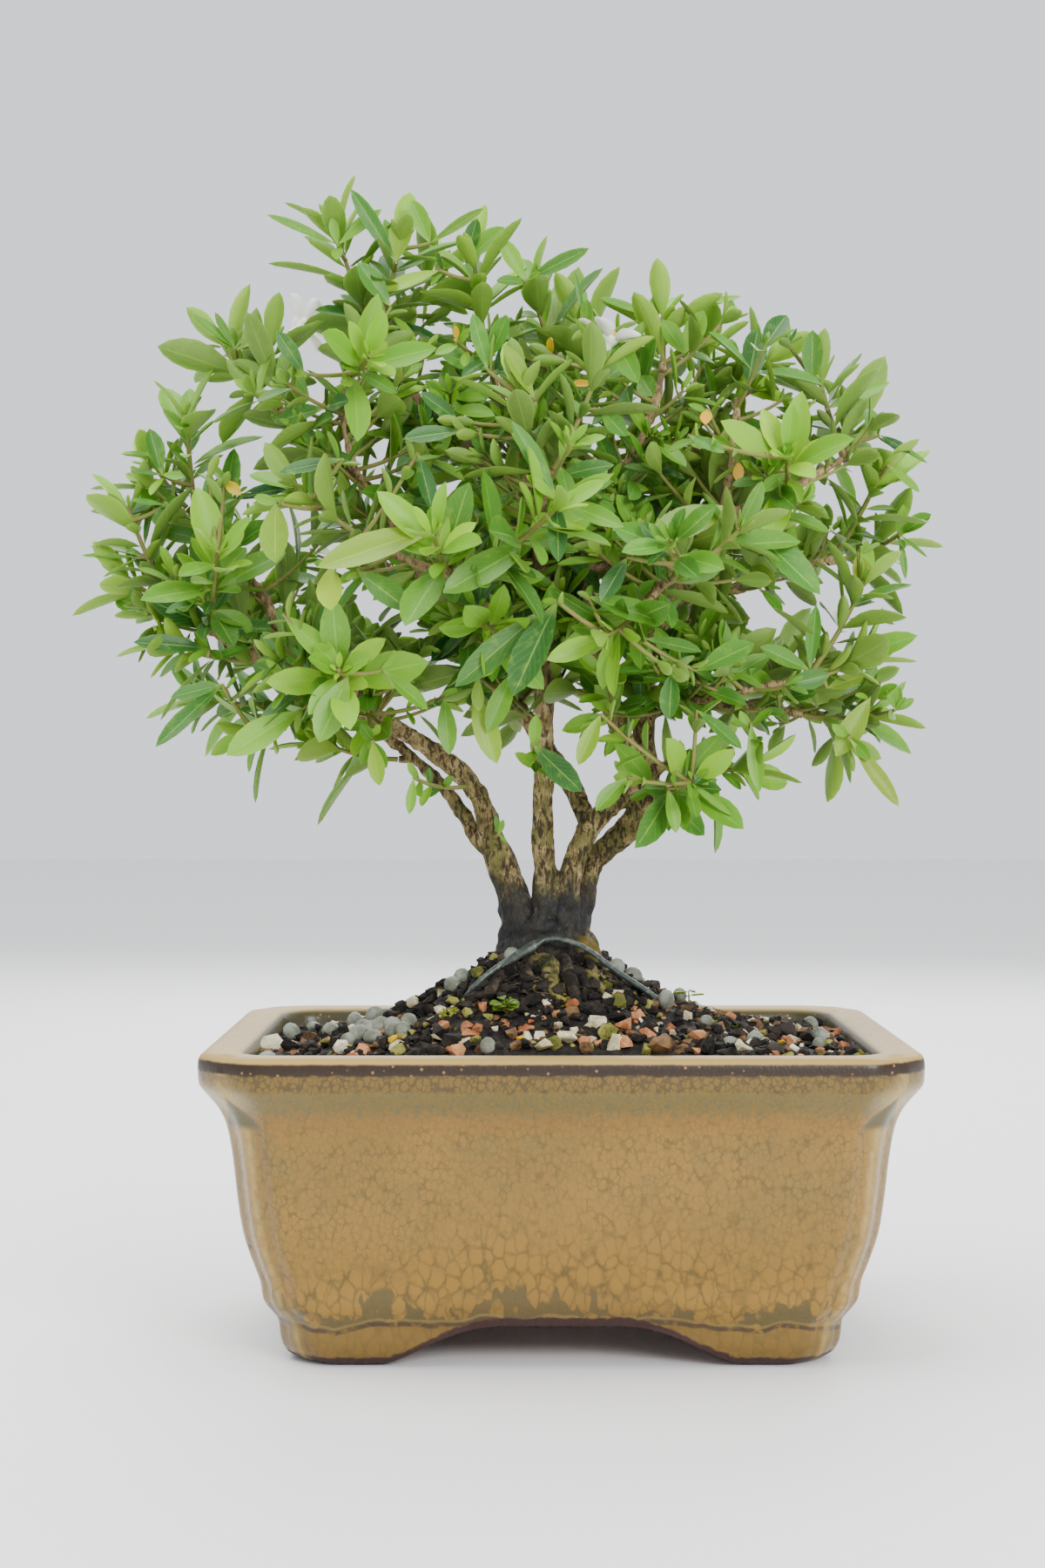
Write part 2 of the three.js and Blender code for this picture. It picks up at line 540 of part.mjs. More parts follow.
function flower({ curve }) {
  const { axis } = across(curve, 1, 0);
  const base = curve.getPoint(1).addScaledVector(axis, gap);
  const turned = (petal) => across(curve, 1, 72 * petal).out;
  const rings = flowerTube.map(([height, radius]) => [0, 1, 2, 3, 4].map((petal) => (
    base.clone().addScaledVector(axis, height).addScaledVector(turned(petal - 0.5), radius))));
  const quads = [0, 1, 2, 3, 4].map((petal) => quadOf(5 * petalBand, petal, 5));
  const shell = loft(rings, new Set(quads.map((quad) => quad[0])));
  quads.forEach((quad, petal) => {
    const along = turned(petal).multiplyScalar(0.93).addScaledVector(axis, 0.36).normalize();
    const face = axis.clone().addScaledVector(along, -axis.dot(along)).normalize();
    const heart = base.clone().addScaledVector(axis, 4.75).addScaledVector(turned(petal), 1.4);
    raiseLeaf(shell, quad, { base: heart, along, face, length: petalLength, width: 4.6, droop: 0.08 });
  });
  return solid(skin(shell));
}

const shootLines = shootTips.map((tip) => shootLine(vec(...tip)));

pot();
drainageMesh('drainage_mesh_left', -drainX);
drainageMesh('drainage_mesh_right', drainX);
add('tie_wire', tieWire(0), wireGreen);
const limbSolids = Object.entries(limbs).map(([name, line]) => limb(line, name.startsWith('trunk') ? 6 : 4));
const woodSolid = Manifold.union([rootCrown(0), ...limbSolids, ...shootLines.map(twig)]);
const wood = add('trunks_and_branches', woodSolid, bark);
soil([rootCrown(gap), tieWire(gap)]);
const bloom = add('flower', flower(shootLines[floweringShoot]), petalWhite);
const standing = [wood, bloom];
const stems = shootLines.map(stemSpace);
shootLines.forEach((line, number) => {
  const name = `leafy_shoot_${String(number + 1).padStart(2, '0')}`;
  const others = [...standing, ...stems.filter((_, other) => other !== number)];
  standing.push(add(name, leafyShoot(number, line, others), foliage));
});

// The origin goes to the bottom centre of the object's box
const box = new THREE.Box3().setFromObject(object);
const middle = box.getCenter(new THREE.Vector3());
for (const mesh of object.children) mesh.position.set(-middle.x, -middle.y, -box.min.z);

export default object;
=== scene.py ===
# %% [markdown]
# # A serissa bonsai in its glazed pot
# The solids come first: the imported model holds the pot, the soil, the wood and the leafy shoots at their
# real sizes. This script dresses them. Everything here is worked out in millimetres from the middle of the
# pot's foot, because a potter or a bonsai grower thinks in millimetres, and each piece is moved to metres at
# the end.

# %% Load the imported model
import math

import bmesh
import bpy
import numpy as np
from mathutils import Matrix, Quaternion, Vector, kdtree, noise


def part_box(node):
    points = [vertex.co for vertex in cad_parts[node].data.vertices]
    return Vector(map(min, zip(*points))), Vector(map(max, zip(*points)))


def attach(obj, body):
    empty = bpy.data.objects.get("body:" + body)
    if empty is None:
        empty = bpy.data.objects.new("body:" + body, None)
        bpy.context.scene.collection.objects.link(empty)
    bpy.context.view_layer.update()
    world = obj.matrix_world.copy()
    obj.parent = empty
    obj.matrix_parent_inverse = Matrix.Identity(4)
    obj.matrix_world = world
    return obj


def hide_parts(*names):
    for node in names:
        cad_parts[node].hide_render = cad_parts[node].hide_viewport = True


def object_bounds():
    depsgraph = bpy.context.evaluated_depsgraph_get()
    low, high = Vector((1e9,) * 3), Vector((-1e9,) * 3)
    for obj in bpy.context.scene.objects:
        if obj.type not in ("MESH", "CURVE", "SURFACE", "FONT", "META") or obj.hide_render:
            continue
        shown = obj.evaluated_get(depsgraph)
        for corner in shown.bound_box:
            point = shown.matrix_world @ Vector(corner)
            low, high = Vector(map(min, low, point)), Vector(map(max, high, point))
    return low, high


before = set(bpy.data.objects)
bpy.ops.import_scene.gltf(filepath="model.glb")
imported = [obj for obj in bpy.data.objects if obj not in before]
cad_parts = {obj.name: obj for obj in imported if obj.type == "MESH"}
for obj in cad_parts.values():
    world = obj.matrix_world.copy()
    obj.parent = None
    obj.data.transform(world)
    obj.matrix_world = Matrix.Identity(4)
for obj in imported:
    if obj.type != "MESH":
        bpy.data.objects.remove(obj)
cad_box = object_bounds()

MM = 0.001
pot_low, pot_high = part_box("pot")
HOME = Vector(((pot_low.x + pot_high.x) / 2, (pot_low.y + pot_high.y) / 2, pot_low.z))
print("pot", [round(v / MM, 1) for v in pot_high - pot_low], "home", [round(v / MM, 2) for v in HOME])

# %% [markdown]
# ## Helpers for making pieces
# A piece is built as a bmesh in millimetres, then scaled and moved so that its object can stay at the
# origin. Round things that follow a line, such as stems and wire, are quickest as a bevelled curve: each
# point of a spline has its own radius, so one spline makes a tapering branch with a closed skin.

# %% Piece helpers


def mesh_of(name, bm):
    """A mesh made from a bmesh, which is then freed."""
    mesh = bpy.data.meshes.new(name)
    bm.to_mesh(mesh)
    bm.free()
    return mesh


def linked_object(name, data):
    obj = bpy.data.objects.new(name, data)
    bpy.context.scene.collection.objects.link(obj)
    return obj


def evaluated_mesh(obj):
    """The mesh that an object's modifiers and curve settings give."""
    bpy.context.view_layer.update()
    return bpy.data.meshes.new_from_object(obj.evaluated_get(bpy.context.evaluated_depsgraph_get()))


def new_piece(name, bm, materials, nodes=()):
    """Turns a bmesh in millimetres into a finished piece in metres, which rides on the fixed body."""
    bmesh.ops.scale(bm, vec=(MM, MM, MM), verts=bm.verts)
    bmesh.ops.translate(bm, vec=HOME, verts=bm.verts)
    mesh = mesh_of(name, bm)
    for material in materials:
        mesh.materials.append(material)
    mesh.shade_smooth()
    obj = linked_object(name, mesh)
    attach(obj, "root")
    if nodes:
        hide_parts(*nodes)
    return obj


def tube_mesh(lines, sides=8, smoothness=4):
    """A mesh of round bars: each line is a row of (x, y, z, radius) that a smooth spline runs through."""
    curve = bpy.data.curves.new("tubes", "CURVE")
    curve.dimensions = "3D"
    curve.bevel_depth = 1
    curve.bevel_resolution = sides // 2 - 2
    curve.resolution_u = smoothness
    curve.use_fill_caps = True
    for line in lines:
        spline = curve.splines.new("BEZIER")
        spline.bezier_points.add(len(line) - 1)
        for point, (x, y, z, radius) in zip(spline.bezier_points, line):
            point.co = (x, y, z)
            point.radius = radius
            point.handle_left_type = point.handle_right_type = "AUTO"
    obj = linked_object("tubes", curve)
    mesh = evaluated_mesh(obj)
    bpy.data.objects.remove(obj)
    bpy.data.curves.remove(curve)
    return mesh


def add_tubes(bm, lines, material_index=0, **options):
    """Adds round bars to a bmesh and gives their faces one of its materials."""
    if not lines:
        return
    mesh = tube_mesh(lines, **options)
    before = len(bm.faces)
    bm.from_mesh(mesh)
    bpy.data.meshes.remove(mesh)
    bm.faces.ensure_lookup_table()
    for face in bm.faces[before:]:
        face.material_index = material_index


class Draws:
    """A seeded row of numbers between 0 and 1, the same each run."""

    def __init__(self, seed):
        self.state = 7919 * seed + 12345
        self()
        self()

    def __call__(self):
        self.state = self.state * 16807 % 2147483647
        return self.state / 2147483647

    def between(self, low, high):
        return low + (high - low) * self()


trial = Draws(1)
print("first draws of seed 1:", [round(trial(), 4) for _ in range(3)])

# %% [markdown]
# ## Helpers for shader maths
# A node tree is easier to read as arithmetic. One small class stands for a socket and turns +, -, * and abs
# into Math nodes.

# %% Sums of sockets


class Value:
    """An output socket that can be used in sums, each of which adds a Math node."""

    def __init__(self, shader, socket):
        self.shader = shader
        self.socket = socket

    def math(self, operation, other=None, swap=False):
        operands = [self] if other is None else [self, other]
        if swap:
            operands.reverse()
        return self.shader.add("Math", {"operation": operation}, operands)

    def __add__(self, other):
        return self.math("ADD", other)

    def __sub__(self, other):
        return self.math("SUBTRACT", other)

    def __rsub__(self, other):
        return self.math("SUBTRACT", other, swap=True)

    def __mul__(self, other):
        return self.math("MULTIPLY", other)

    def __abs__(self):
        return self.math("ABSOLUTE")

    __radd__ = __add__
    __rmul__ = __mul__


print("sockets can be added up")

# %% [markdown]
# A second class stands for a material. One of its methods adds any kind of node from its settings and its
# inputs, and the others are short names for the nodes that are wanted often. Plain things, such as the wire,
# need one noise only, so one function gives their finish.

# %% Shader helpers


class Shader:
    """A material whose Principled shader is fed by nodes that its methods add."""

    def __init__(self, name, **constants):
        self.material = bpy.data.materials.new(name)
        self.material.use_nodes = True
        self.tree = self.material.node_tree
        self.principled = self.tree.nodes["Principled BSDF"]
        for socket, value in constants.items():
            self.principled.inputs[socket.replace("_", " ")].default_value = value

    def add(self, kind, settings, inputs, output=0):
        node = self.tree.nodes.new("ShaderNode" + kind)
        for name, value in settings.items():
            if name == "stops":
                ramp = node.color_ramp
                while len(ramp.elements) < len(value):
                    ramp.elements.new(1)
                for element, (place, colour) in zip(ramp.elements, value):
                    element.position = place
                    element.color = (*colour, 1)
            else:
                setattr(node, name, value)
        pairs = inputs.items() if isinstance(inputs, dict) else enumerate(inputs)
        for key, value in pairs:
            if isinstance(value, Value):
                self.tree.links.new(value.socket, node.inputs[key])
            else:
                node.inputs[key].default_value = value
        return Value(self, node.outputs[output])

    def place(self, scale=(1, 1, 1)):
        """Object coordinates in millimetres from the middle of the pot's foot, stretched by scale."""
        spot = self.add("TexCoord", {}, {}, "Object")
        factors = [k / MM for k in scale]
        offset = [-h * k for h, k in zip(HOME, factors)]
        return self.add("Mapping", {}, {0: spot, "Scale": factors, "Location": offset})

    def stretched(self, vector, factors):
        return self.add("VectorMath", {"operation": "MULTIPLY"}, [vector, factors])

    def axes(self, vector):
        return [self.add("SeparateXYZ", {}, [vector], i) for i in range(3)]

    def noise(self, vector, scale, detail=3, roughness=0.55, distortion=0, output=0):
        inputs = {"Vector": vector, "Scale": scale, "Detail": detail, "Roughness": roughness,
                  "Distortion": distortion}
        return self.add("TexNoise", {}, inputs, output)

    def cells(self, vector, scale, feature="F1"):
        return self.add("TexVoronoi", {"feature": feature}, {"Vector": vector, "Scale": scale})

    def step(self, value, low, high):
        """0 below low, 1 above high, and smooth between; low may be the larger one."""
        settings = {"interpolation_type": "SMOOTHSTEP"}
        if low > high:
            return 1 - self.add("MapRange", settings, [value, high, low, 0, 1])
        return self.add("MapRange", settings, [value, low, high, 0, 1])

    def ramp(self, value, stops):
        return self.add("ValToRGB", {"stops": stops}, [value])

    def mix(self, first, second, factor):
        def colour(c):
            return c if isinstance(c, Value) else (*c, 1)

        return self.add("Mix", {"data_type": "RGBA"}, {0: factor, 6: colour(first), 7: colour(second)}, 2)

    def feed(self, bump=None, strength=0.3, distance=0.3 * MM, **sockets):
        for name, value in sockets.items():
            self.tree.links.new(value.socket, self.principled.inputs[name.replace("_", " ")])
        if bump is not None:
            normal = self.add("Bump", {}, {"Strength": strength, "Distance": distance, "Height": bump})
            self.tree.links.new(normal.socket, self.principled.inputs["Normal"])
        return self.material


def plain_material(name, dark, light, scale, detail, fade=None, stretch=(1, 1, 1), strength=0.3,
                   rough=(0.5, 0.2), **constants):
    """A finish from one noise, which mixes two colours, lifts the surface and varies its roughness."""
    shader = Shader(name, **constants)
    grain = shader.noise(shader.place(stretch), scale, detail)
    colour = shader.mix(dark, light, shader.step(grain, *fade) if fade else grain)
    return shader.feed(bump=grain, strength=strength, Base_Color=colour,
                       Roughness=rough[0] + grain * rough[1])


print("shader helpers ready")

# %% [markdown]
# ## Camera, floor and light
# The photograph looks at the pot almost level, from about half the height of the whole thing. How close
# together the rim's front and back edges look tells how high and how far away the lens was.

# %% Camera
CAMERA_PLACE = (-8, -564, 124)
CAMERA_LENS = 57.7
CAMERA_DIP = 0.28

camera = linked_object("camera", bpy.data.cameras.new("camera"))
camera.data.lens = CAMERA_LENS
camera.data.clip_start = 0.02
camera.location = HOME + Vector(CAMERA_PLACE) * MM
camera.rotation_euler = (math.radians(90 - CAMERA_DIP), 0, 0)
bpy.context.scene.camera = camera
print("camera at", [round(v, 3) for v in camera.location])

# %% [markdown]
# The pot stands on a pale floor, which is there for the picture only. A bright world and three broad lamps,
# from above, in front and behind, light it from all sides, so that its shadows are soft as in the
# photograph.

# %% Floor and soft studio light
floor_shader = Shader("studio_floor", Base_Color=(0.9, 0.895, 0.885, 1), Roughness=0.7)
floor_bm = bmesh.new()
bmesh.ops.create_grid(floor_bm, x_segments=1, y_segments=1, size=3)
floor_mesh = mesh_of("floor", floor_bm)
floor_mesh.materials.append(floor_shader.material)
floor = linked_object("floor", floor_mesh)

world = bpy.data.worlds.new("studio")
bpy.context.scene.world = world
world.use_nodes = True
world.node_tree.nodes["Background"].inputs["Color"].default_value = (0.93, 0.96, 1, 1)
world.node_tree.nodes["Background"].inputs["Strength"].default_value = 1.25


def softbox(name, place, aim, size, power):
    light = bpy.data.lights.new(name, "AREA")
    light.shape = "RECTANGLE"
    light.size, light.size_y = size
    light.energy = power
    obj = linked_object(name, light)
    obj.location = HOME + Vector(place)
    direction = HOME + Vector(aim) - obj.location
    obj.rotation_euler = direction.to_track_quat("-Z", "Y").to_euler()


softbox("top_softbox", (-0.25, -0.1, 0.95), (0, 0, 0.1), (0.8, 0.8), 11)
softbox("front_softbox", (0.5, -0.9, 0.5), (0, 0, 0.12), (0.5, 0.3), 11)
softbox("back_softbox", (0.1, 0.8, 0.6), (0, 0, 0.15), (0.9, 0.5), 9)
print("floor and lights set")

# %% [markdown]
# ## The pot's form
# The pot was pressed in a mould: a long box with canted corners, a rib between two flutes on each corner,
# and scallops in its foot. Such a form is a loft. One loop of edges is extruded from ring to ring, starting
# under the floor, round the foot, up the outside, over the lip and down the inside. At every height the same
# rule gives the plan, so corners stay in line all the way.

# %% Profile of the pot
POT_LENGTH = 150
POT_DEPTH = 118
ARCH_HEIGHT = 9
FLOOR_UNDER = 9.2
FLOOR_TOP = 12.6
FRONT_ARCH = (68, 27)
SIDE_ARCH = (44, 17)
ARCH_REACH = 12

# Height, inset, size of the canted corner, and depth of its rib
OUTSIDE = [
    (0, 19.6, 8, 0.3), (1.6, 17.3, 8, 0.5), (4.4, 16, 8, 0.6), (8.6, 15.5, 8, 0.7), (10.4, 14.4, 8, 0.9),
    (13.4, 12.6, 8, 1.1), (17.5, 11.9, 8.2, 1.2), (22, 10.4, 8.4, 1.3), (28, 8.7, 8.6, 1.3),
    (35.5, 7.6, 8.8, 1.2), (44, 6.7, 9, 1.1), (50.5, 5.6, 9.4, 0.9), (54.4, 4, 10, 0.6),
    (57.2, 1.9, 11, 0.2), (59.4, 0.3, 11.5, 0), (61.5, 0, 11.5, 0), (64.2, 0, 11.5, 0), (65.6, 0.5, 11.4, 0),
    (66.2, 1.6, 11.2, 0),
]
INSIDE = [
    (66.3, 3.2, 10.8, 0), (66.2, 6.4, 9.4, 0), (65.8, 8.3, 8.6, 0), (64.6, 9.3, 8.1, 0), (62, 9.8, 8, 0),
    (55, 11, 8, 0), (43, 12.7, 7.8, 0), (30, 14.5, 7.5, 0), (17, 18.6, 7.1, 0), (FLOOR_TOP, 22.5, 7, 0),
    (FLOOR_TOP, 34, 7, 0),
]
UNDERSIDE = [(FLOOR_UNDER, 40, 6, 0), (FLOOR_UNDER, 28, 6, 0), (8.2, 27.1, 6, 0), (1, 28.3, 6, 0),
             (0, 27.4, 6, 0.1)]
FOOT = [(0, 21.4, 8, 0.2), (0.1, 20.1, 8, 0.3)]


def smooth_rows(rows, steps):
    """More rows on a smooth line through the given ones."""
    rows = np.array(rows, float)
    padded = np.vstack([2 * rows[0] - rows[1], rows, 2 * rows[-1] - rows[-2]])
    out = []
    for before, start, end, after in zip(padded, padded[1:], padded[2:], padded[3:]):
        for t in np.arange(steps) / steps:
            line = 2 * start + (end - before) * t + (2 * before - 5 * start + 4 * end - after) * t**2
            out.append((line + (3 * start - before - 3 * end + after) * t**3) / 2)
    return np.array([*out, rows[-1]])


print(len(smooth_rows(OUTSIDE, 3)), "rows up the outside")

# %% [markdown]
# The plan is worked out for one quarter and mirrored. Its points are first set close together, so that
# blurring the loop rounds every edge a little. Then most are dropped: corners keep more of them than the
# flat sides do.

# %% Plan of the pot
CORNER_POINTS, SIDE_POINTS, FRONT_POINTS = 24, 100, 132
QUARTER = SIDE_POINTS + CORNER_POINTS + FRONT_POINTS
SOFTENING = np.exp(-((np.arange(-7, 8) / 2.4) ** 2) / 2)


def is_kept(index):
    """Whether a point of the close-set plan is kept: every second near a corner, every fourth elsewhere."""
    place = index % (2 * QUARTER)
    place = min(place, 2 * QUARTER - place)
    near_corner = SIDE_POINTS - 8 <= place < SIDE_POINTS + CORNER_POINTS + 8
    return place % (2 if near_corner else 4) == 0


KEPT = [index for index in range(4 * QUARTER) if is_kept(index)]


def plan_points(inset, cant, rib, bulge):
    """The softened loop of x, y round the pot, anticlockwise from the middle of its right side."""
    a, b = POT_LENGTH / 2 - inset, POT_DEPTH / 2 - inset
    quarter = [(a, (b - cant) * k / SIDE_POINTS) for k in range(SIDE_POINTS)]
    for u in np.arange(CORNER_POINTS) / CORNER_POINTS:
        turn = math.pi / 2 * u
        out = rib * (math.sin(math.pi * u) ** 8 - math.sin(2 * math.pi * u) ** 2) / math.sqrt(2)
        flat = Vector((a - cant * u + out, b - cant * (1 - u) + out))
        arc = Vector((a - cant * (1 - math.cos(turn)), b - cant * (1 - math.sin(turn))))
        quarter.append(flat.lerp(arc, bulge))
    quarter += [((a - cant) * (1 - k / FRONT_POINTS), b) for k in range(FRONT_POINTS)]
    quarter = np.array(quarter)
    mirrored = quarter[:0:-1] * (-1, 1)
    half = np.vstack([quarter, [(0, b)], mirrored])
    loop = np.vstack([half, -half])
    reach = len(SOFTENING) // 2
    padded = np.vstack([loop[-reach:], loop, loop[:reach]])
    weights = SOFTENING / SOFTENING.sum()
    soft = np.stack([np.convolve(padded[:, k], weights, "valid") for k in range(2)], 1)
    return soft[KEPT]


print(len(KEPT), "points round the pot")

# %% [markdown]
# Each side of the foot is cut away in a scallop. One half of its line is a curve between a point on the
# ground and the top of the scallop, and the depth of the cut is looked up by the distance from the middle of
# the side.

# %% Scallops of the foot
arch_t = np.linspace(0, 1, 41)[:, None]


def arch_line(foot, crown):
    """Half a scallop, as a cubic curve from the ground to its top."""
    ends = np.array([(-foot * 0.55, 0), (-foot * 0.44, 1.2),
                     (-crown * 0.81, ARCH_HEIGHT), (-crown * 0.41, ARCH_HEIGHT)])
    rest = 1 - arch_t
    weights = np.hstack([rest**3, 3 * arch_t * rest**2, 3 * arch_t**2 * rest, arch_t**3])
    return (weights @ ends).T


front_line = arch_line(*FRONT_ARCH)
side_line = arch_line(*SIDE_ARCH)


def arch_at(x, y):
    """How far the foot is cut away at a point of the plan, by the scallop of the side that it is on."""
    on_front = abs(y) - POT_DEPTH / 2 > abs(x) - POT_LENGTH / 2
    return np.interp(-abs(x), *front_line) if on_front else np.interp(-abs(y), *side_line)


print("arch at the middle and the foot", arch_at(0, -40), round(float(arch_at(30, -40)), 2))

# %% [markdown]
# ## Lofting
# A loft by extrusion needs to know which new vertex grew from which old one. Each new vertex is joined by
# one edge to the vertex it came from, so the helper follows those edges and then moves every vertex to its
# place.

# %% Loft helper


def edges_between(made, grown):
    """The new edges that run from one grown vertex to another."""
    edges = [e for e in made if isinstance(e, bmesh.types.BMEdge)]
    return [e for e in edges if e.verts[0] in grown and e.verts[1] in grown]


def loft(bm, rings):
    """Extrudes a loop of edges from ring to ring; a ring is a list of places, and all have equal counts."""
    verts = [bm.verts.new(p) for p in rings[0]]
    loop = [bm.edges.new(pair) for pair in zip(verts, verts[1:] + verts[:1])]
    first = loop
    number = {vert: i for i, vert in enumerate(verts)}
    faces = []
    for ring in rings[1:]:
        made = bmesh.ops.extrude_edge_only(bm, edges=loop)["geom"]
        faces += [f for f in made if isinstance(f, bmesh.types.BMFace)]
        grown = {}
        for vert in (v for v in made if isinstance(v, bmesh.types.BMVert)):
            source = next(e.other_vert(vert) for e in vert.link_edges if e.other_vert(vert) in number)
            grown[vert] = number[source]
        for vert, i in grown.items():
            vert.co = ring[i]
        loop = edges_between(made, grown)
        number = grown
    for edges in (first, loop):
        faces += bmesh.ops.contextual_create(bm, geom=edges)["faces"]
    bmesh.ops.recalc_face_normals(bm, faces=faces)
    return faces


print("loft ready")

# %% [markdown]
# Each ring of the pot is the plan at one height. Near the foot a ring rises over the scallops, and on the
# outside it takes the plan of the height that it has risen to, so the wall above a scallop keeps its slope.

# %% Rings of the pot
outside_rows = smooth_rows(OUTSIDE, 3)
OUTER_BULGE, INNER_BULGE = 0.3, 0.95
outside_plans = np.array([plan_points(*row[1:], OUTER_BULGE) for row in outside_rows])


def pot_ring(z, inset, cant, rib, reach, bulge, follow_outside=False):
    """One ring of the pot, whose lower part is lifted over the scallops of the foot."""
    ring = []
    for i, (x, y) in enumerate(plan_points(inset, cant, rib, bulge)):
        height = z + arch_at(x, y) * max(0, 1 - z / reach)
        if follow_outside and height > z + 0.01:
            x, y = [np.interp(height, outside_rows[:, 0], outside_plans[:, i, k]) for k in range(2)]
        ring.append((x, y, height))
    return ring


pot_rings = [pot_ring(*row, FLOOR_UNDER, OUTER_BULGE) for row in smooth_rows(UNDERSIDE, 2)]
pot_rings += [pot_ring(*row, ARCH_REACH, OUTER_BULGE) for row in FOOT]
pot_rings += [pot_ring(*row, ARCH_REACH, OUTER_BULGE, True) for row in outside_rows[1:]]
pot_rings += [pot_ring(*row, FLOOR_UNDER, INNER_BULGE) for row in smooth_rows(INSIDE, 3)]
print(len(pot_rings), "rings of", len(pot_rings[0]), "points")

# %% [markdown]
# ## The glaze
# The glaze broke into small cells as it cooled and crept: fine at the shoulder, larger and longer where it
# ran down. Two cell patterns on the pot's own coordinates give this, and a mask by height goes from one to
# the other. Height also tells where the glaze ran thin and dark (the edge of the lip), and where it pooled
# (the foot).

# %% Glaze
MID_WALL = 6.5

# Heights over which one look of the glaze fades in, from none of it to all of it
RUN = (33, 13)
OCHRE_START = (51, 54)
OCHRE_END = (57, 55)
GREY = (55, 58.5)
SHOULDER = (59.0, 59.8)
LIP_TOP = (64.7, 65.3)
LIP_EDGE_START = (62.4, 63.0)
LIP_EDGE_END = (65.2, 64.7)
FOOT_DARK = (11, 4)
FOOT_EDGE = (2.5, 1.8)
CORNER_LIGHT_END = (63, 56)
INNER_START = (50, 52)
INNER_END = (65.9, 65.2)


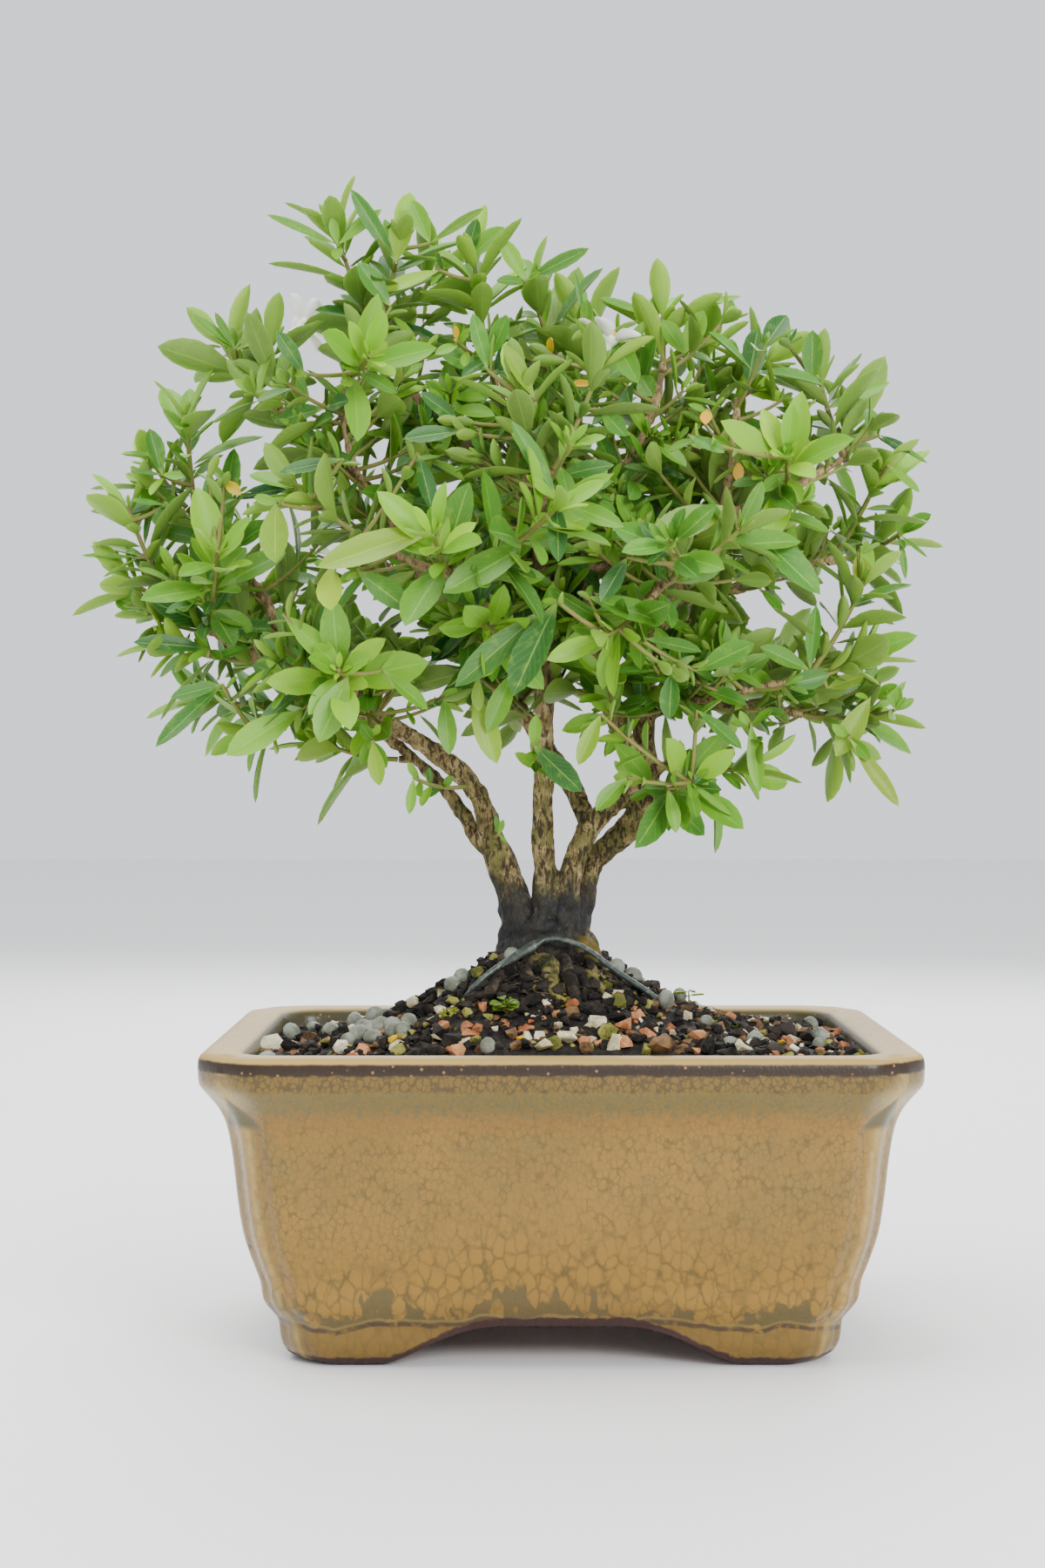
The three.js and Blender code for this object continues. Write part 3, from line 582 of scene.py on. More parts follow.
def glaze_material():
    glaze = Shader("crackled_glaze", IOR=1.4, Coat_Roughness=0.06)
    spot = glaze.place()
    x, y, z = glaze.axes(spot)
    arch = glaze.add("Attribute", {"attribute_name": "arch"}, {}, "Fac")
    rib = glaze.add("Attribute", {"attribute_name": "rib"}, {}, "Fac")
    above_foot = z - arch
    cloud = glaze.noise(spot, 0.045, 3)
    patch = glaze.noise(spot, 0.16, 3)
    wander = glaze.noise(spot, 0.4, 3)
    wobble = glaze.noise(spot, 0.85, 2, output=1)
    bent = glaze.add("VectorMath", {"operation": "MULTIPLY_ADD"}, [wobble, (1.0, 1.0, 1.0), spot])

    # The cells: soft round ones, and a darker net between them
    def net(stretch, scale, low, high):
        flat_spot = glaze.stretched(bent, (1, 1, stretch))
        edge = glaze.cells(flat_spot, scale, "DISTANCE_TO_EDGE")
        middle = glaze.cells(flat_spot, scale)
        return glaze.step(edge, high, low) * 0.75 + glaze.step(middle, 0.45, 0.85) * 0.6

    fine_net = net(0.66, 0.84, 0.0, 0.17)
    coarse_net = net(0.52, 0.44, 0.02, 0.14)
    run = glaze.step(above_foot + (cloud - 0.5) * 50 + (patch - 0.5) * 20, *RUN)
    broken = glaze.step(wander, 0.32, 0.62)
    line = fine_net * (1 - run) * (0.2 + broken * 0.6) + coarse_net * run * (0.45 + broken * 0.45)
    body = glaze.mix((0.185, 0.105, 0.013), (0.225, 0.122, 0.015), glaze.step(cloud, 0.36, 0.64))
    colour = glaze.mix(body, (0.165, 0.105, 0.02), glaze.step(patch, 0.45, 0.7) * 0.5)
    colour = glaze.mix(colour, (0.24, 0.128, 0.015), run * 0.75)
    colour = glaze.mix(colour, (0.075, 0.05, 0.008), line * 0.72)

    # Under the lip the glaze is greyer, then amber, then almost black over the edge
    streak = glaze.noise(glaze.stretched(spot, (1, 1, 0.16)), 1.3, 3)
    grey = glaze.step(z + streak * 5, *GREY)
    ochre_band = glaze.step(z + patch * 3, *OCHRE_START) * glaze.step(z, *OCHRE_END)
    colour = glaze.mix(colour, (0.20, 0.092, 0.014), ochre_band * 0.4)
    colour = glaze.mix(colour, (0.115, 0.085, 0.018), grey * 0.75)
    colour = glaze.mix(colour, (0.07, 0.075, 0.04), grey * glaze.step(streak, 0.52, 0.66) * 0.7)
    shoulder = glaze.step(z + (wander - 0.5) * 2.4, *SHOULDER)
    amber = glaze.mix((0.125, 0.07, 0.004), (0.058, 0.034, 0.002), glaze.step(fine_net, 0.2, 0.9))
    colour = glaze.mix(colour, amber, shoulder * 0.92)
    lip_top = glaze.step(z, *LIP_TOP)
    colour = glaze.mix(colour, (0.36, 0.235, 0.06), lip_top)
    lip_edge = glaze.step(z + (wander - 0.5) * 1.2, *LIP_EDGE_START)
    lip_edge = lip_edge * glaze.step(z + (wander - 0.5) * 0.6, *LIP_EDGE_END)
    colour = glaze.mix(colour, (0.015, 0.0055, 0.0008), lip_edge * 0.96)

    # Low down it ran into lobes over an olive pool above a raised ridge, with painted shade as a dark line
    # under the ridge and a painted highlight along its top
    lobes = glaze.step(glaze.cells(glaze.stretched(bent, (1, 1, 0.38)), 0.24), 0.42, 0.34)
    wave = glaze.noise(glaze.stretched(spot, (1, 1, 0)), 0.07, 2)
    ridge_height = arch * 0.2 + 5.2 + wave * 7
    over_ridge = z - ridge_height
    pool = glaze.step(over_ridge, 8.5, 7) * glaze.step(over_ridge, -0.2, 0.3)
    fingers = glaze.noise(glaze.stretched(spot, (1, 1, 0.25)), 0.15, 3)
    pool = pool * glaze.step(over_ridge - (fingers - 0.4) * 34, 1.2, 0.4) * (1 - lobes * 0.95)
    colour = glaze.mix(colour, (0.078, 0.058, 0.016), pool * 0.92)
    below = glaze.step(over_ridge, 0.1, -0.3)
    colour = glaze.mix(colour, (0.145, 0.087, 0.012), below * 0.6)
    # Painted shade: a dark line just under the raised ridge
    painted_ridge_shade = glaze.step(over_ridge, -1.0, -0.55) * glaze.step(over_ridge, 0.35, 0.0)
    colour = glaze.mix(colour, (0.03, 0.015, 0.011), painted_ridge_shade * glaze.step(wander, 0.3, 0.5) * 0.85)
    colour = glaze.mix(colour, (0.075, 0.042, 0.006), glaze.step(above_foot, *FOOT_DARK) * 0.32)
    # Painted highlight: a light line along the top of the ridge
    painted_ridge_highlight = glaze.step(over_ridge, 0.2, 0.5) * glaze.step(over_ridge, 1.1, 0.8)
    colour = glaze.mix(colour, (0.19, 0.125, 0.03), painted_ridge_highlight * 0.6)
    foot = glaze.step(above_foot + (wander - 0.5) * 1.6, *FOOT_EDGE)
    colour = glaze.mix(colour, (0.028, 0.008, 0.005), foot)

    # Pale over the corner ribs, where the glaze is thin and a painted highlight adds to it; the lower corners
    # are lighter by painted light; inside, a greyer glaze with painted shade
    # The pale ribs are partly thin glaze and partly a painted highlight
    rib_thin_glaze_and_light = rib * (1 - lip_edge) * glaze.step(wander, 0.2, 0.6)
    colour = glaze.mix(colour, (0.46, 0.33, 0.12), rib_thin_glaze_and_light * 0.55)
    wide = abs(x) - (POT_LENGTH / 2 - MID_WALL)
    deep = abs(y) - (POT_DEPTH / 2 - MID_WALL)
    # Painted light: the lower part of each corner is made lighter
    corner = glaze.step(wide, -7, 0) * glaze.step(deep, -9, -2) * glaze.step(z, *CORNER_LIGHT_END)
    colour = glaze.mix(colour, (0.50, 0.35, 0.10), corner * 0.45)
    within = glaze.step(glaze.add("Math", {"operation": "MAXIMUM"}, [wide, deep]), 0.5, -0.5)
    inner_grey_and_shade = within * glaze.step(z, *INNER_START) * glaze.step(z, *INNER_END)
    # Inside the rim the glaze is greyer, and darker by painted shade
    colour = glaze.mix(colour, (0.06, 0.053, 0.02), inner_grey_and_shade * 0.9)
    # Painted glints: light flecks over the dark edge of the lip
    painted_glints = glaze.step(glaze.cells(spot, 0.5), 0.2, 0.1) * lip_edge
    colour = glaze.mix(colour, (0.42, 0.22, 0.09), painted_glints * 0.5)
    specks = glaze.step(glaze.cells(spot, 0.055), 0.042, 0.03)
    colour = glaze.mix(colour, (0.03, 0.010, 0.008), specks * 0.9)

    roughness = 0.22 + line * 0.1 + foot * 0.4 + lip_top * 0.28 + rib * 0.25 + lip_edge * 0.15
    coat = 0.1 + shoulder * 0.1 - lip_top * 0.3 - lip_edge * 0.1 - rib * 0.1
    height = 1 - line * 0.45 - specks * 0.3 + cloud * 0.8 - pool * 0.35
    height = height + painted_ridge_highlight * 0.5 - painted_ridge_shade * 0.3 + patch * 0.3
    return glaze.feed(bump=height, strength=0.22, Base_Color=colour, Roughness=roughness, Coat_Weight=coat)


glaze = glaze_material()
print("glaze nodes", len(glaze.node_tree.nodes))

# %% [markdown]
# The ring that the pot stands on and its underside are bare: rough, warm brown fired clay.

# %% Bare clay
bare_clay = plain_material("bare_clay", (0.10, 0.035, 0.018), (0.2, 0.085, 0.045), 2.5, 5, strength=0.4,
                           rough=(0.8, 0.1), Specular_IOR_Level=0.3)
print("clay nodes", len(bare_clay.node_tree.nodes))

# %% [markdown]
# ## Building the pot
# The loft gives the whole pot as one closed skin. Only the two drain holes are left to cut, which a Boolean
# with two cylinders does cleanly, because they pass through a flat floor.

# %% Pot with its drains
DRAIN_X = 26
DRAIN_RADIUS = 5
DRAIN_CUT = {"depth": 12, "segments": 40, "radius1": DRAIN_RADIUS, "radius2": DRAIN_RADIUS}
DRAIN_MIDDLE = 10.5

pot_bm = bmesh.new()
pot_faces = loft(pot_bm, pot_rings)
ring_size = len(pot_rings[0])
bare_rings = len(smooth_rows(UNDERSIDE, 2))
for face in pot_faces:
    face.smooth = True
for face in pot_faces[:bare_rings * ring_size] + [pot_faces[-2]]:
    face.material_index = 1
blank = linked_object("pot_blank", mesh_of("pot_blank", pot_bm))
drain_bm = bmesh.new()
for side in (-1, 1):
    made = bmesh.ops.create_cone(drain_bm, cap_ends=True, **DRAIN_CUT)
    bmesh.ops.translate(drain_bm, vec=(side * DRAIN_X, 0, DRAIN_MIDDLE), verts=made["verts"])
drains = linked_object("drain_cutter", mesh_of("drain_cutter", drain_bm))
cut = blank.modifiers.new("drains", "BOOLEAN")
cut.object = drains
cut.operation = "DIFFERENCE"
cut.solver = "EXACT"
pot_mesh = evaluated_mesh(blank)
for leftover in (blank, drains):
    bpy.data.objects.remove(leftover)
print("pot with drains", len(pot_mesh.polygons), "faces")

# %% [markdown]
# The glaze needs two things that a height doesn't tell: how far the foot is cut away at a place, and how
# near the top of a corner's rib is. Both are stored on the vertices, where the glaze reads them.

# %% Marks for the glaze
RIB_WIDTH = 0.1

pot_bm = bmesh.new()
pot_bm.from_mesh(pot_mesh)
arch_layer = pot_bm.verts.layers.float.new("arch")
rib_layer = pot_bm.verts.layers.float.new("rib")
for vert in pot_bm.verts:
    vert[arch_layer] = arch_at(vert.co.x, vert.co.y)
    inset, cant = [np.interp(vert.co.z, outside_rows[:, 0], outside_rows[:, k]) for k in (1, 2)]
    along_corner = (POT_LENGTH / 2 - inset - abs(vert.co.x)) / cant - 0.5
    outward = abs(vert.co.x) + abs(vert.co.y) - (POT_LENGTH + POT_DEPTH) / 2 + 2 * inset + cant
    vert[rib_layer] = math.exp(-((along_corner / RIB_WIDTH) ** 2)) if outward > -2 else 0
pot = new_piece("glazed_pot", pot_bm, [glaze, bare_clay], ["pot"])
print("pot", len(pot.data.polygons), "faces")

# %% [markdown]
# ## The tree's lines
# The tree is described by lines: each limb is a row of points with a radius, from the root outwards. They
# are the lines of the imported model's wood, so the dressed tree keeps its form.

# %% Limbs
LIMBS = {
    "trunkLeft": [(-6, 0, 69, 5), (-8.5, 0, 89, 4.3), (-10.5, 0, 97, 3.7), (-13.4, 0, 105, 3.5),
                  (-15, 0, 109.5, 2.9), (-16.5, -1, 115.5, 2.5), (-19.5, -1, 121, 2.3),
                  (-24, -2, 125.6, 2.2), (-36, -3, 133.6, 2), (-53, -4, 142, 1.7), (-66, -5, 148.8, 1.5),
                  (-78, -4.4, 156, 1.2), (-86, -4, 161.5, 0.9)],
    "trunkLeftThin": [(-13.4, 0, 104, 2.4), (-17.4, 2, 108.2, 1.9), (-24, 5, 118, 1.6), (-32.8, 8, 127, 1.4),
                      (-42, 12, 134, 1.3), (-54, 17, 142, 1.1), (-68, 23, 153, 0.9)],
    "trunkMiddle": [(-2.2, -2, 69, 4), (-2.4, -3, 89, 3.4), (-3.1, -4, 99, 2.7), (-3.3, -4, 121, 2.4),
                    (-3, -4, 148, 2.3), (-3, -3, 170, 2), (-7, -2, 184, 1.7), (-10, -1, 199, 1.4),
                    (-15, 0, 213, 1.1)],
    "trunkRight": [(2, 0, 69, 5), (4, 1, 91, 3.9), (7.4, 2, 103, 3), (12.4, 2, 108, 3), (18, 1, 114, 3.1),
                   (19.6, 0, 122, 3.1), (19.4, 0, 130, 2.5), (19, 1, 141, 2.1), (21, 2, 153, 1.9),
                   (26.5, 3, 165, 1.6), (29.5, 3, 178, 1.4), (31, 2, 193, 1.2), (28.5, 0, 207, 0.9)],
    "trunkInner": [(1.8, -3, 73, 3.6), (2, -4, 93, 2.9), (3.6, -4, 104, 2.6), (8.2, -3, 113, 2.5),
                   (13, -2, 117, 2.4), (18, -1, 121.5, 2.4)],
    "risingMiddle": [(18.4, -1, 120, 2.7), (16.6, -3, 126, 2.5), (12.4, -5, 137, 2.3), (8.2, -6, 150, 2),
                     (6, -6, 160, 1.8), (8, -5, 173, 1.6), (10.5, -2, 189, 1.3), (12.5, 2, 207, 0.9)],
    "crossingLeft": [(7, -2, 111.5, 2.3), (4.4, 3, 118, 2.1), (-2.4, 7, 129, 2), (-9.6, 6, 139.5, 1.9),
                     (-20, 1, 152.5, 1.7), (-31, -6, 169, 1.5), (-40, -12, 184, 1.3), (-52, -14, 195, 1.1),
                     (-61, -14, 203, 0.9)],
    "rightUpper": [(7.6, -5, 168, 1.7), (18, -14, 172, 1.5), (34, -18, 178.5, 1.4), (50, -16, 185.5, 1.2),
                   (63, -10, 193, 1)],
    "rightMiddle": [(26, 3, 163, 1.5), (38, 4, 164.5, 1.2), (51, 5, 169, 1.1), (61, 3.5, 171.5, 0.9)],
    "rightLower": [(19.2, 0, 137, 1.7), (30, -8, 139.5, 1.2), (42, -13, 142, 1), (54, -14, 144.5, 0.8)],
    "rightLowest": [(28, -6, 139, 1.1), (40, -2, 139, 1), (52, 0, 137.5, 0.9), (60, 2, 136.5, 0.7)],
    "rightSpur": [(19.4, 0, 123, 1.8), (26, -3, 126.5, 1.1), (34, -6, 129.5, 0.8)],
    "rightUpright": [(36, -17, 179, 1.2), (37.5, -16, 193, 1), (39, -14, 206, 0.8)],
    "prunedStub": [(9, -5, 181, 1.4), (16, -12, 193, 1.2), (20, -15, 202, 1.1), (22.6, -16, 211, 1)],
    "leftUpper": [(-9, -2, 187, 1.5), (-21, -2, 196, 1.3), (-32, -1, 208, 1.1), (-41, 0, 222, 0.8)],
    "leftUpright": [(-42, -12, 185, 1.2), (-46, -20, 195, 0.9), (-46, -24, 209, 0.7)],
    "leftFar": [(-58, -4, 144, 1.5), (-64, 2, 159, 1.2), (-73, 5, 173, 1), (-82, 5, 182, 0.8)],
    "middleTop": [(-9.5, -1, 193, 1.3), (-4, 4, 206, 1.1), (0, 7, 218, 0.8)],
    "frontLeft": [(-3, -4, 143, 2), (-9, -16, 153, 1.4), (-17, -32, 160, 1), (-23, -42, 165, 0.8)],
    "frontRight": [(8, -6, 153, 1.8), (14, -20, 159, 1.3), (21, -33, 163, 1), (27, -44, 167, 0.8)],
    "frontMiddle": [(-3, -3, 163, 1.8), (-5, -16, 175, 1.3), (-4, -32, 181, 1), (-4, -44, 183, 0.8)],
    "frontFarLeft": [(-40, -3, 135.5, 1.7), (-44, -16, 141, 1.2), (-47, -28, 144, 0.9)],
    "backLeft": [(-6, 7, 134, 1.9), (-14, 20, 147, 1.4), (-27, 33, 160, 1.1), (-40, 40, 173, 0.8)],
    "backMiddle": [(-3, -2, 153, 2), (-4, 14, 165, 1.4), (-3, 30, 177, 1.1), (-3, 40, 191, 0.8)],
    "backRight": [(20, 2, 149, 1.8), (25, 17, 156, 1.3), (32, 31, 163, 1.1), (40, 38, 171, 0.8)],
}
print(len(LIMBS), "limbs of", sum(len(line) for line in LIMBS.values()), "points")

# %% [markdown]
# Only the tip of a shoot is given. It springs from the nearest fitting point of a limb and bows a little, by
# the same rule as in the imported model.

# %% Shoots
SHOOT_TIPS = [
    (-50, 0, 246), (-35, -8, 241), (-27, 10, 239), (-19, -6, 239), (-6, 0, 232), (5, 10, 227),
    (23, -10, 225), (34, 4, 220), (48, 5, 217), (58, -6, 211), (66, 2, 204), (72, -4, 191), (75, 8, 177),
    (67, -14, 166), (66, -16, 149), (70, -2, 137), (66, 12, 131), (43, -10, 125), (29, -24, 122),
    (-76, 4, 221), (-64, -6, 219), (-83, -4, 204), (-91, 4, 193), (-96, -4, 183), (-97, 0, 168),
    (-87, -8, 153), (-82, 8, 141), (-68, -10, 133), (-54, 4, 131), (-42, -14, 137),
    (-1, -60, 177), (-26, -56, 172), (-56, -38, 184), (-46, -44, 145), (37, -48, 174), (-9, -42, 204),
    (-40, -38, 211), (8.5, -42, 209), (9, -46, 152), (48, -32, 191), (-14, -42, 153), (-73, -28, 171),
    (-58, 40, 191), (-72, 34, 163), (-30, 46, 209), (-2, 54, 199), (30, 46, 199), (56, 34, 181),
    (-20, 52, 167), (24, 52, 165), (-46, 44, 153), (50, 38, 151), (2, 28, 229),
]
FLOWERING_SHOOT = 37
GAP = 0.3
SHOOT_LENGTH = 24
SHORTEST_REACH = 12
LOWEST_TWIG = 121
TWIG_RADIUS = 0.8
STEM_RADIUS = 0.65


def spring_point(tip):
    """The point of the limbs that a shoot springs from: the nearest, with higher ones counted as farther."""
    best = (math.inf, None, 0)
    for line in LIMBS.values():
        for x, y, z, radius in line[1:]:
            point = Vector((x, y, z))
            distance = (point - tip).length
            cost = distance + 1.2 * max(0, z + 8 - tip.z)
            if z > LOWEST_TWIG and distance > SHORTEST_REACH and cost < best[0]:
                best = (cost, point, radius)
    return best[1:]


class Bow:
    """A bowed line from a spring point to a tip; the part before `start` is woody, the rest is green."""

    def __init__(self, first, tip, start=0.0, sag=0.14):
        self.reach = (tip - first).length
        self.first, self.tip, self.start = first, tip, start
        self.bend = first.lerp(tip, 0.5) - Vector((0, 0, sag * self.reach))

    def point(self, t):
        return self.first * (1 - t) ** 2 + self.bend * (2 * t * (1 - t)) + self.tip * t**2

    def along(self, t):
        return ((self.bend - self.first) * (1 - t) + (self.tip - self.bend) * t).normalized()

    def across(self, t, degrees):
        chord = self.tip - self.first
        level = Vector((-chord.y, chord.x, 0)).normalized()
        return Quaternion(self.along(t), math.radians(degrees)) @ level


def shoot_bow(tip):
    tip = Vector(tip)
    point, radius = spring_point(tip)
    reach = (tip - point).length
    return Bow(point, tip, max((radius + 2) / reach, 1 - SHOOT_LENGTH / reach))


bows = [shoot_bow(tip) for tip in SHOOT_TIPS]
print(len(bows), "shoots, reaching", round(min(b.reach for b in bows)), "to",
      round(max(b.reach for b in bows)), "mm")

# %% [markdown]
# ## The bark
# Serissa bark is pale tan with dark pits and short upright cracks, greenish where it stays damp, and almost
# black near the soil. Stretching the noise along z makes its patches upright, which suits limbs that mostly
# climb.

# %% Bark
DAMP_BARK = (140, 106)
UPPER_BARK = (122, 150)
STAINED_BARK = (104, 93)
MOSSY_BARK = (90, 86)


def bark_material():
    bark = Shader("pitted_bark", Specular_IOR_Level=0.25)
    spot = bark.place()
    upright = bark.place((1, 1, 0.35))
    x, y, z = bark.axes(spot)
    cracks = bark.noise(upright, 0.9, 4, 0.65, 0.6)
    pits = bark.cells(upright, 0.75)
    plates = bark.noise(spot, 0.28, 4, 0.6)
    fine = bark.noise(upright, 3.2, 3)
    colour = bark.ramp(plates + (fine - 0.5) * 0.5, [
        (0.30, (0.075, 0.05, 0.02)), (0.45, (0.20, 0.145, 0.055)), (0.57, (0.31, 0.23, 0.095)),
        (0.70, (0.52, 0.42, 0.22))])
    damp = bark.step(z + (plates - 0.5) * 34, *DAMP_BARK)
    green_patches = bark.step(bark.noise(spot, 0.2, 3), 0.38, 0.58)
    colour = bark.mix(colour, (0.10, 0.098, 0.024), damp * green_patches * 0.8)
    upper = bark.step(z, *UPPER_BARK)
    colour = bark.mix(colour, (0.40, 0.27, 0.14), upper * 0.4)
    dark = bark.step(cracks, 0.48, 0.57) * (0.92 - upper * 0.4)
    colour = bark.mix(colour, (0.028, 0.019, 0.011), dark)
    colour = bark.mix(colour, (0.022, 0.015, 0.010), bark.step(pits, 0.24, 0.1) * 0.75)
    stain = bark.step(z + (cracks - 0.5) * 26 + (plates - 0.5) * 16, *STAINED_BARK)
    soaked = bark.mix((0.009, 0.009, 0.011), (0.045, 0.048, 0.052), bark.step(fine, 0.55, 0.75))
    colour = bark.mix(colour, soaked, stain * 0.94)
    moss = bark.step(z, *MOSSY_BARK) * bark.step(x, 3, 6) * bark.step(plates, 0.4, 0.5)
    colour = bark.mix(colour, (0.17, 0.12, 0.015), moss * 0.7)
    height = (1 - cracks) * 0.8 + fine * 0.35 + plates * 0.4
    return bark.feed(bump=height, strength=0.85, distance=0.5 * MM, Base_Color=colour,
                     Roughness=0.85 - stain * 0.25)


bark = bark_material()
print("bark nodes", len(bark.node_tree.nodes))

# %% [markdown]
# ## Trunks, branches and root crown
# Where real limbs join, the bark runs over from one into the other. Bars that only pass through each other
# show a hard crease there. A voxel remesh melts them into one skin, and pushing its vertices in and out by
# noise gives the knots and hollows.

# %% Wood
CLUMP_X = -2.6
CROWN_RINGS = [(61, 10, 8), (71, 13, 10.5), (81, 12.4, 10), (87, 10.6, 8.4), (91, 8, 5.4)]
SURFACE_ROOTS = [208, 256, 318, 60, 130]
ROOT_REACH = [(2, 3.4), (8, 2.6), (16, 1.7), (25, 0.9)]
SOIL_LEVEL = 62
MOUND_RISE = 25
MOUND_SPREAD = 31
WOOD_VOXEL = 0.62


def soil_height(x, y):
    spread = ((x - CLUMP_X) / MOUND_SPREAD) ** 2 + (y / MOUND_SPREAD) ** 2
    tilt = 2.2 * x / POT_LENGTH - 2.4 * y / POT_DEPTH
    lumps = 0.5 * math.sin(0.55 * x + 1.3 * math.sin(0.31 * y)) * math.cos(0.47 * y + 0.8)
    return SOIL_LEVEL + tilt + lumps + MOUND_RISE * math.exp(-(spread**0.75))


def crown_rings(sides):
    rings = []
    for row, (z, rx, ry) in enumerate(CROWN_RINGS):
        ring = []
        for turn in np.arange(sides) * 2 * math.pi / sides:
            lobes = 1 + 0.09 * math.sin(3 * turn + row)
            ring.append((CLUMP_X + rx * lobes * math.cos(turn), ry * lobes * math.sin(turn), z))
        rings.append(ring)
    return rings


def surface_root(degrees):
    turn = math.radians(degrees)
    line = []
    for reach, radius in ROOT_REACH:
        x, y = CLUMP_X + reach * math.cos(turn), 0.85 * reach * math.sin(turn)
        line.append((x, y, soil_height(x, y) - 0.4 * radius, radius))
    return line


wood_bm = bmesh.new()
loft(wood_bm, crown_rings(36))
add_tubes(wood_bm, list(LIMBS.values()), sides=14, smoothness=6)
add_tubes(wood_bm, [surface_root(degrees) for degrees in SURFACE_ROOTS], sides=10)
rough = linked_object("rough_wood", mesh_of("rough_wood", wood_bm))
melt = rough.modifiers.new("melt", "REMESH")
melt.mode = "VOXEL"
melt.voxel_size = WOOD_VOXEL
melt.use_smooth_shade = True
soften = rough.modifiers.new("soften", "SMOOTH")
soften.factor = 0.5
soften.iterations = 3
wood_mesh = evaluated_mesh(rough)
bpy.data.objects.remove(rough)
wood_bm = bmesh.new()
wood_bm.from_mesh(wood_mesh)
wood_bm.normal_update()
for vert in wood_bm.verts:
    p = vert.co
    knots = noise.noise(p * 0.16) * 0.45
    ribs = noise.noise(Vector((p.x * 0.7, p.y * 0.7, p.z * 0.16))) * 0.5
    pits = -0.35 * max(0, noise.noise(Vector((p.x * 1.5, p.y * 1.5, p.z * 0.6))))
    low = max(0, min(1, (101 - p.z) / 16))
    lumps = noise.noise(p * 0.33) * 1.6 * low
    vert.co = p + vert.normal * (knots + ribs + pits + lumps)
print("wood", len(wood_bm.faces), "faces")

# %% [markdown]
# The thin twigs run from the limbs to where each shoot turns green. They are finer than the voxels of the
# remesh, which would break them up, so they are added afterwards as plain tubes.

# %% Twigs


def twig_line(bow, steps=4):
    shares = [bow.start * k / steps for k in range(steps + 1)]
    return [(*bow.point(t), TWIG_RADIUS * (1.35 - 0.35 * k / steps)) for k, t in enumerate(shares)]


add_tubes(wood_bm, [twig_line(bow) for bow in bows], sides=8, smoothness=2)
wood = new_piece("trunks_and_branches_bark", wood_bm, [bark], ["trunks_and_branches"])
print("wood with twigs", len(wood.data.polygons), "faces")

# %% [markdown]
# ## Leaf blades
# A serissa leaf is small and leathery, widest past its middle, with a short tip and a small fold along its
# rib. All blades come from one template: a grid and its turned copy, welded along the rim, so each leaf is a
# closed shape with an upper and a lower face. A rule then places every point of the grid, which lets each
# leaf have its own droop.

# %% Leaf template
LEAF_COLUMNS, LEAF_ROWS = 4, 6
LEAF_THICKNESS = 0.34


def leaf_template():
    bm = bmesh.new()
    bmesh.ops.create_grid(bm, x_segments=LEAF_COLUMNS, y_segments=LEAF_ROWS, size=1)
    uv = bm.loops.layers.uv.new("leaf")
    for face in bm.faces:
        for loop in face.loops:
            loop[uv].uv = ((loop.vert.co.x + 1) / 2, (loop.vert.co.y + 1) / 2)
    copied = bmesh.ops.duplicate(bm, geom=bm.verts[:] + bm.edges[:] + bm.faces[:])["geom"]
    lower = [f for f in copied if isinstance(f, bmesh.types.BMFace)]
    bmesh.ops.reverse_faces(bm, faces=lower)
    for face in lower:
        face.material_index = 1
    for vert in {v for face in lower for v in face.verts}:
        if max(abs(vert.co.x), abs(vert.co.y)) < 0.99:
            vert.co.z = -1
    for vert in bm.verts:
        if abs(vert.co.y) > 0.99:
            vert.co.x = 0
    bmesh.ops.remove_doubles(bm, verts=bm.verts[:], dist=1e-4)
    for edge in bm.edges:
        edge.smooth = edge.is_boundary or len({f.material_index for f in edge.link_faces}) == 1
    mesh = mesh_of("leaf_template", bm)
    places = np.array([v.co for v in mesh.vertices])
    return mesh, places[:, 0], (places[:, 1] + 1) / 2, places[:, 2]


leaf_mesh, leaf_u, leaf_v, leaf_depth = leaf_template()
leaf_reach = 1 - (1 - leaf_v) ** 1.3
print("leaf template", len(leaf_mesh.polygons), "faces")

# %% [markdown]
# ## Leaf and stem finishes
# Leaves differ in age: tips are yellow-green and thin, old leaves are dark and waxy. Each leaf's points
# carry a small "tone" attribute (shade, age, yellowing), so one material serves every leaf. The leaf's own
# UV map runs along and across the blade, and draws its pale midrib and faint side veins.

# %% Leaf, stem and petal finishes


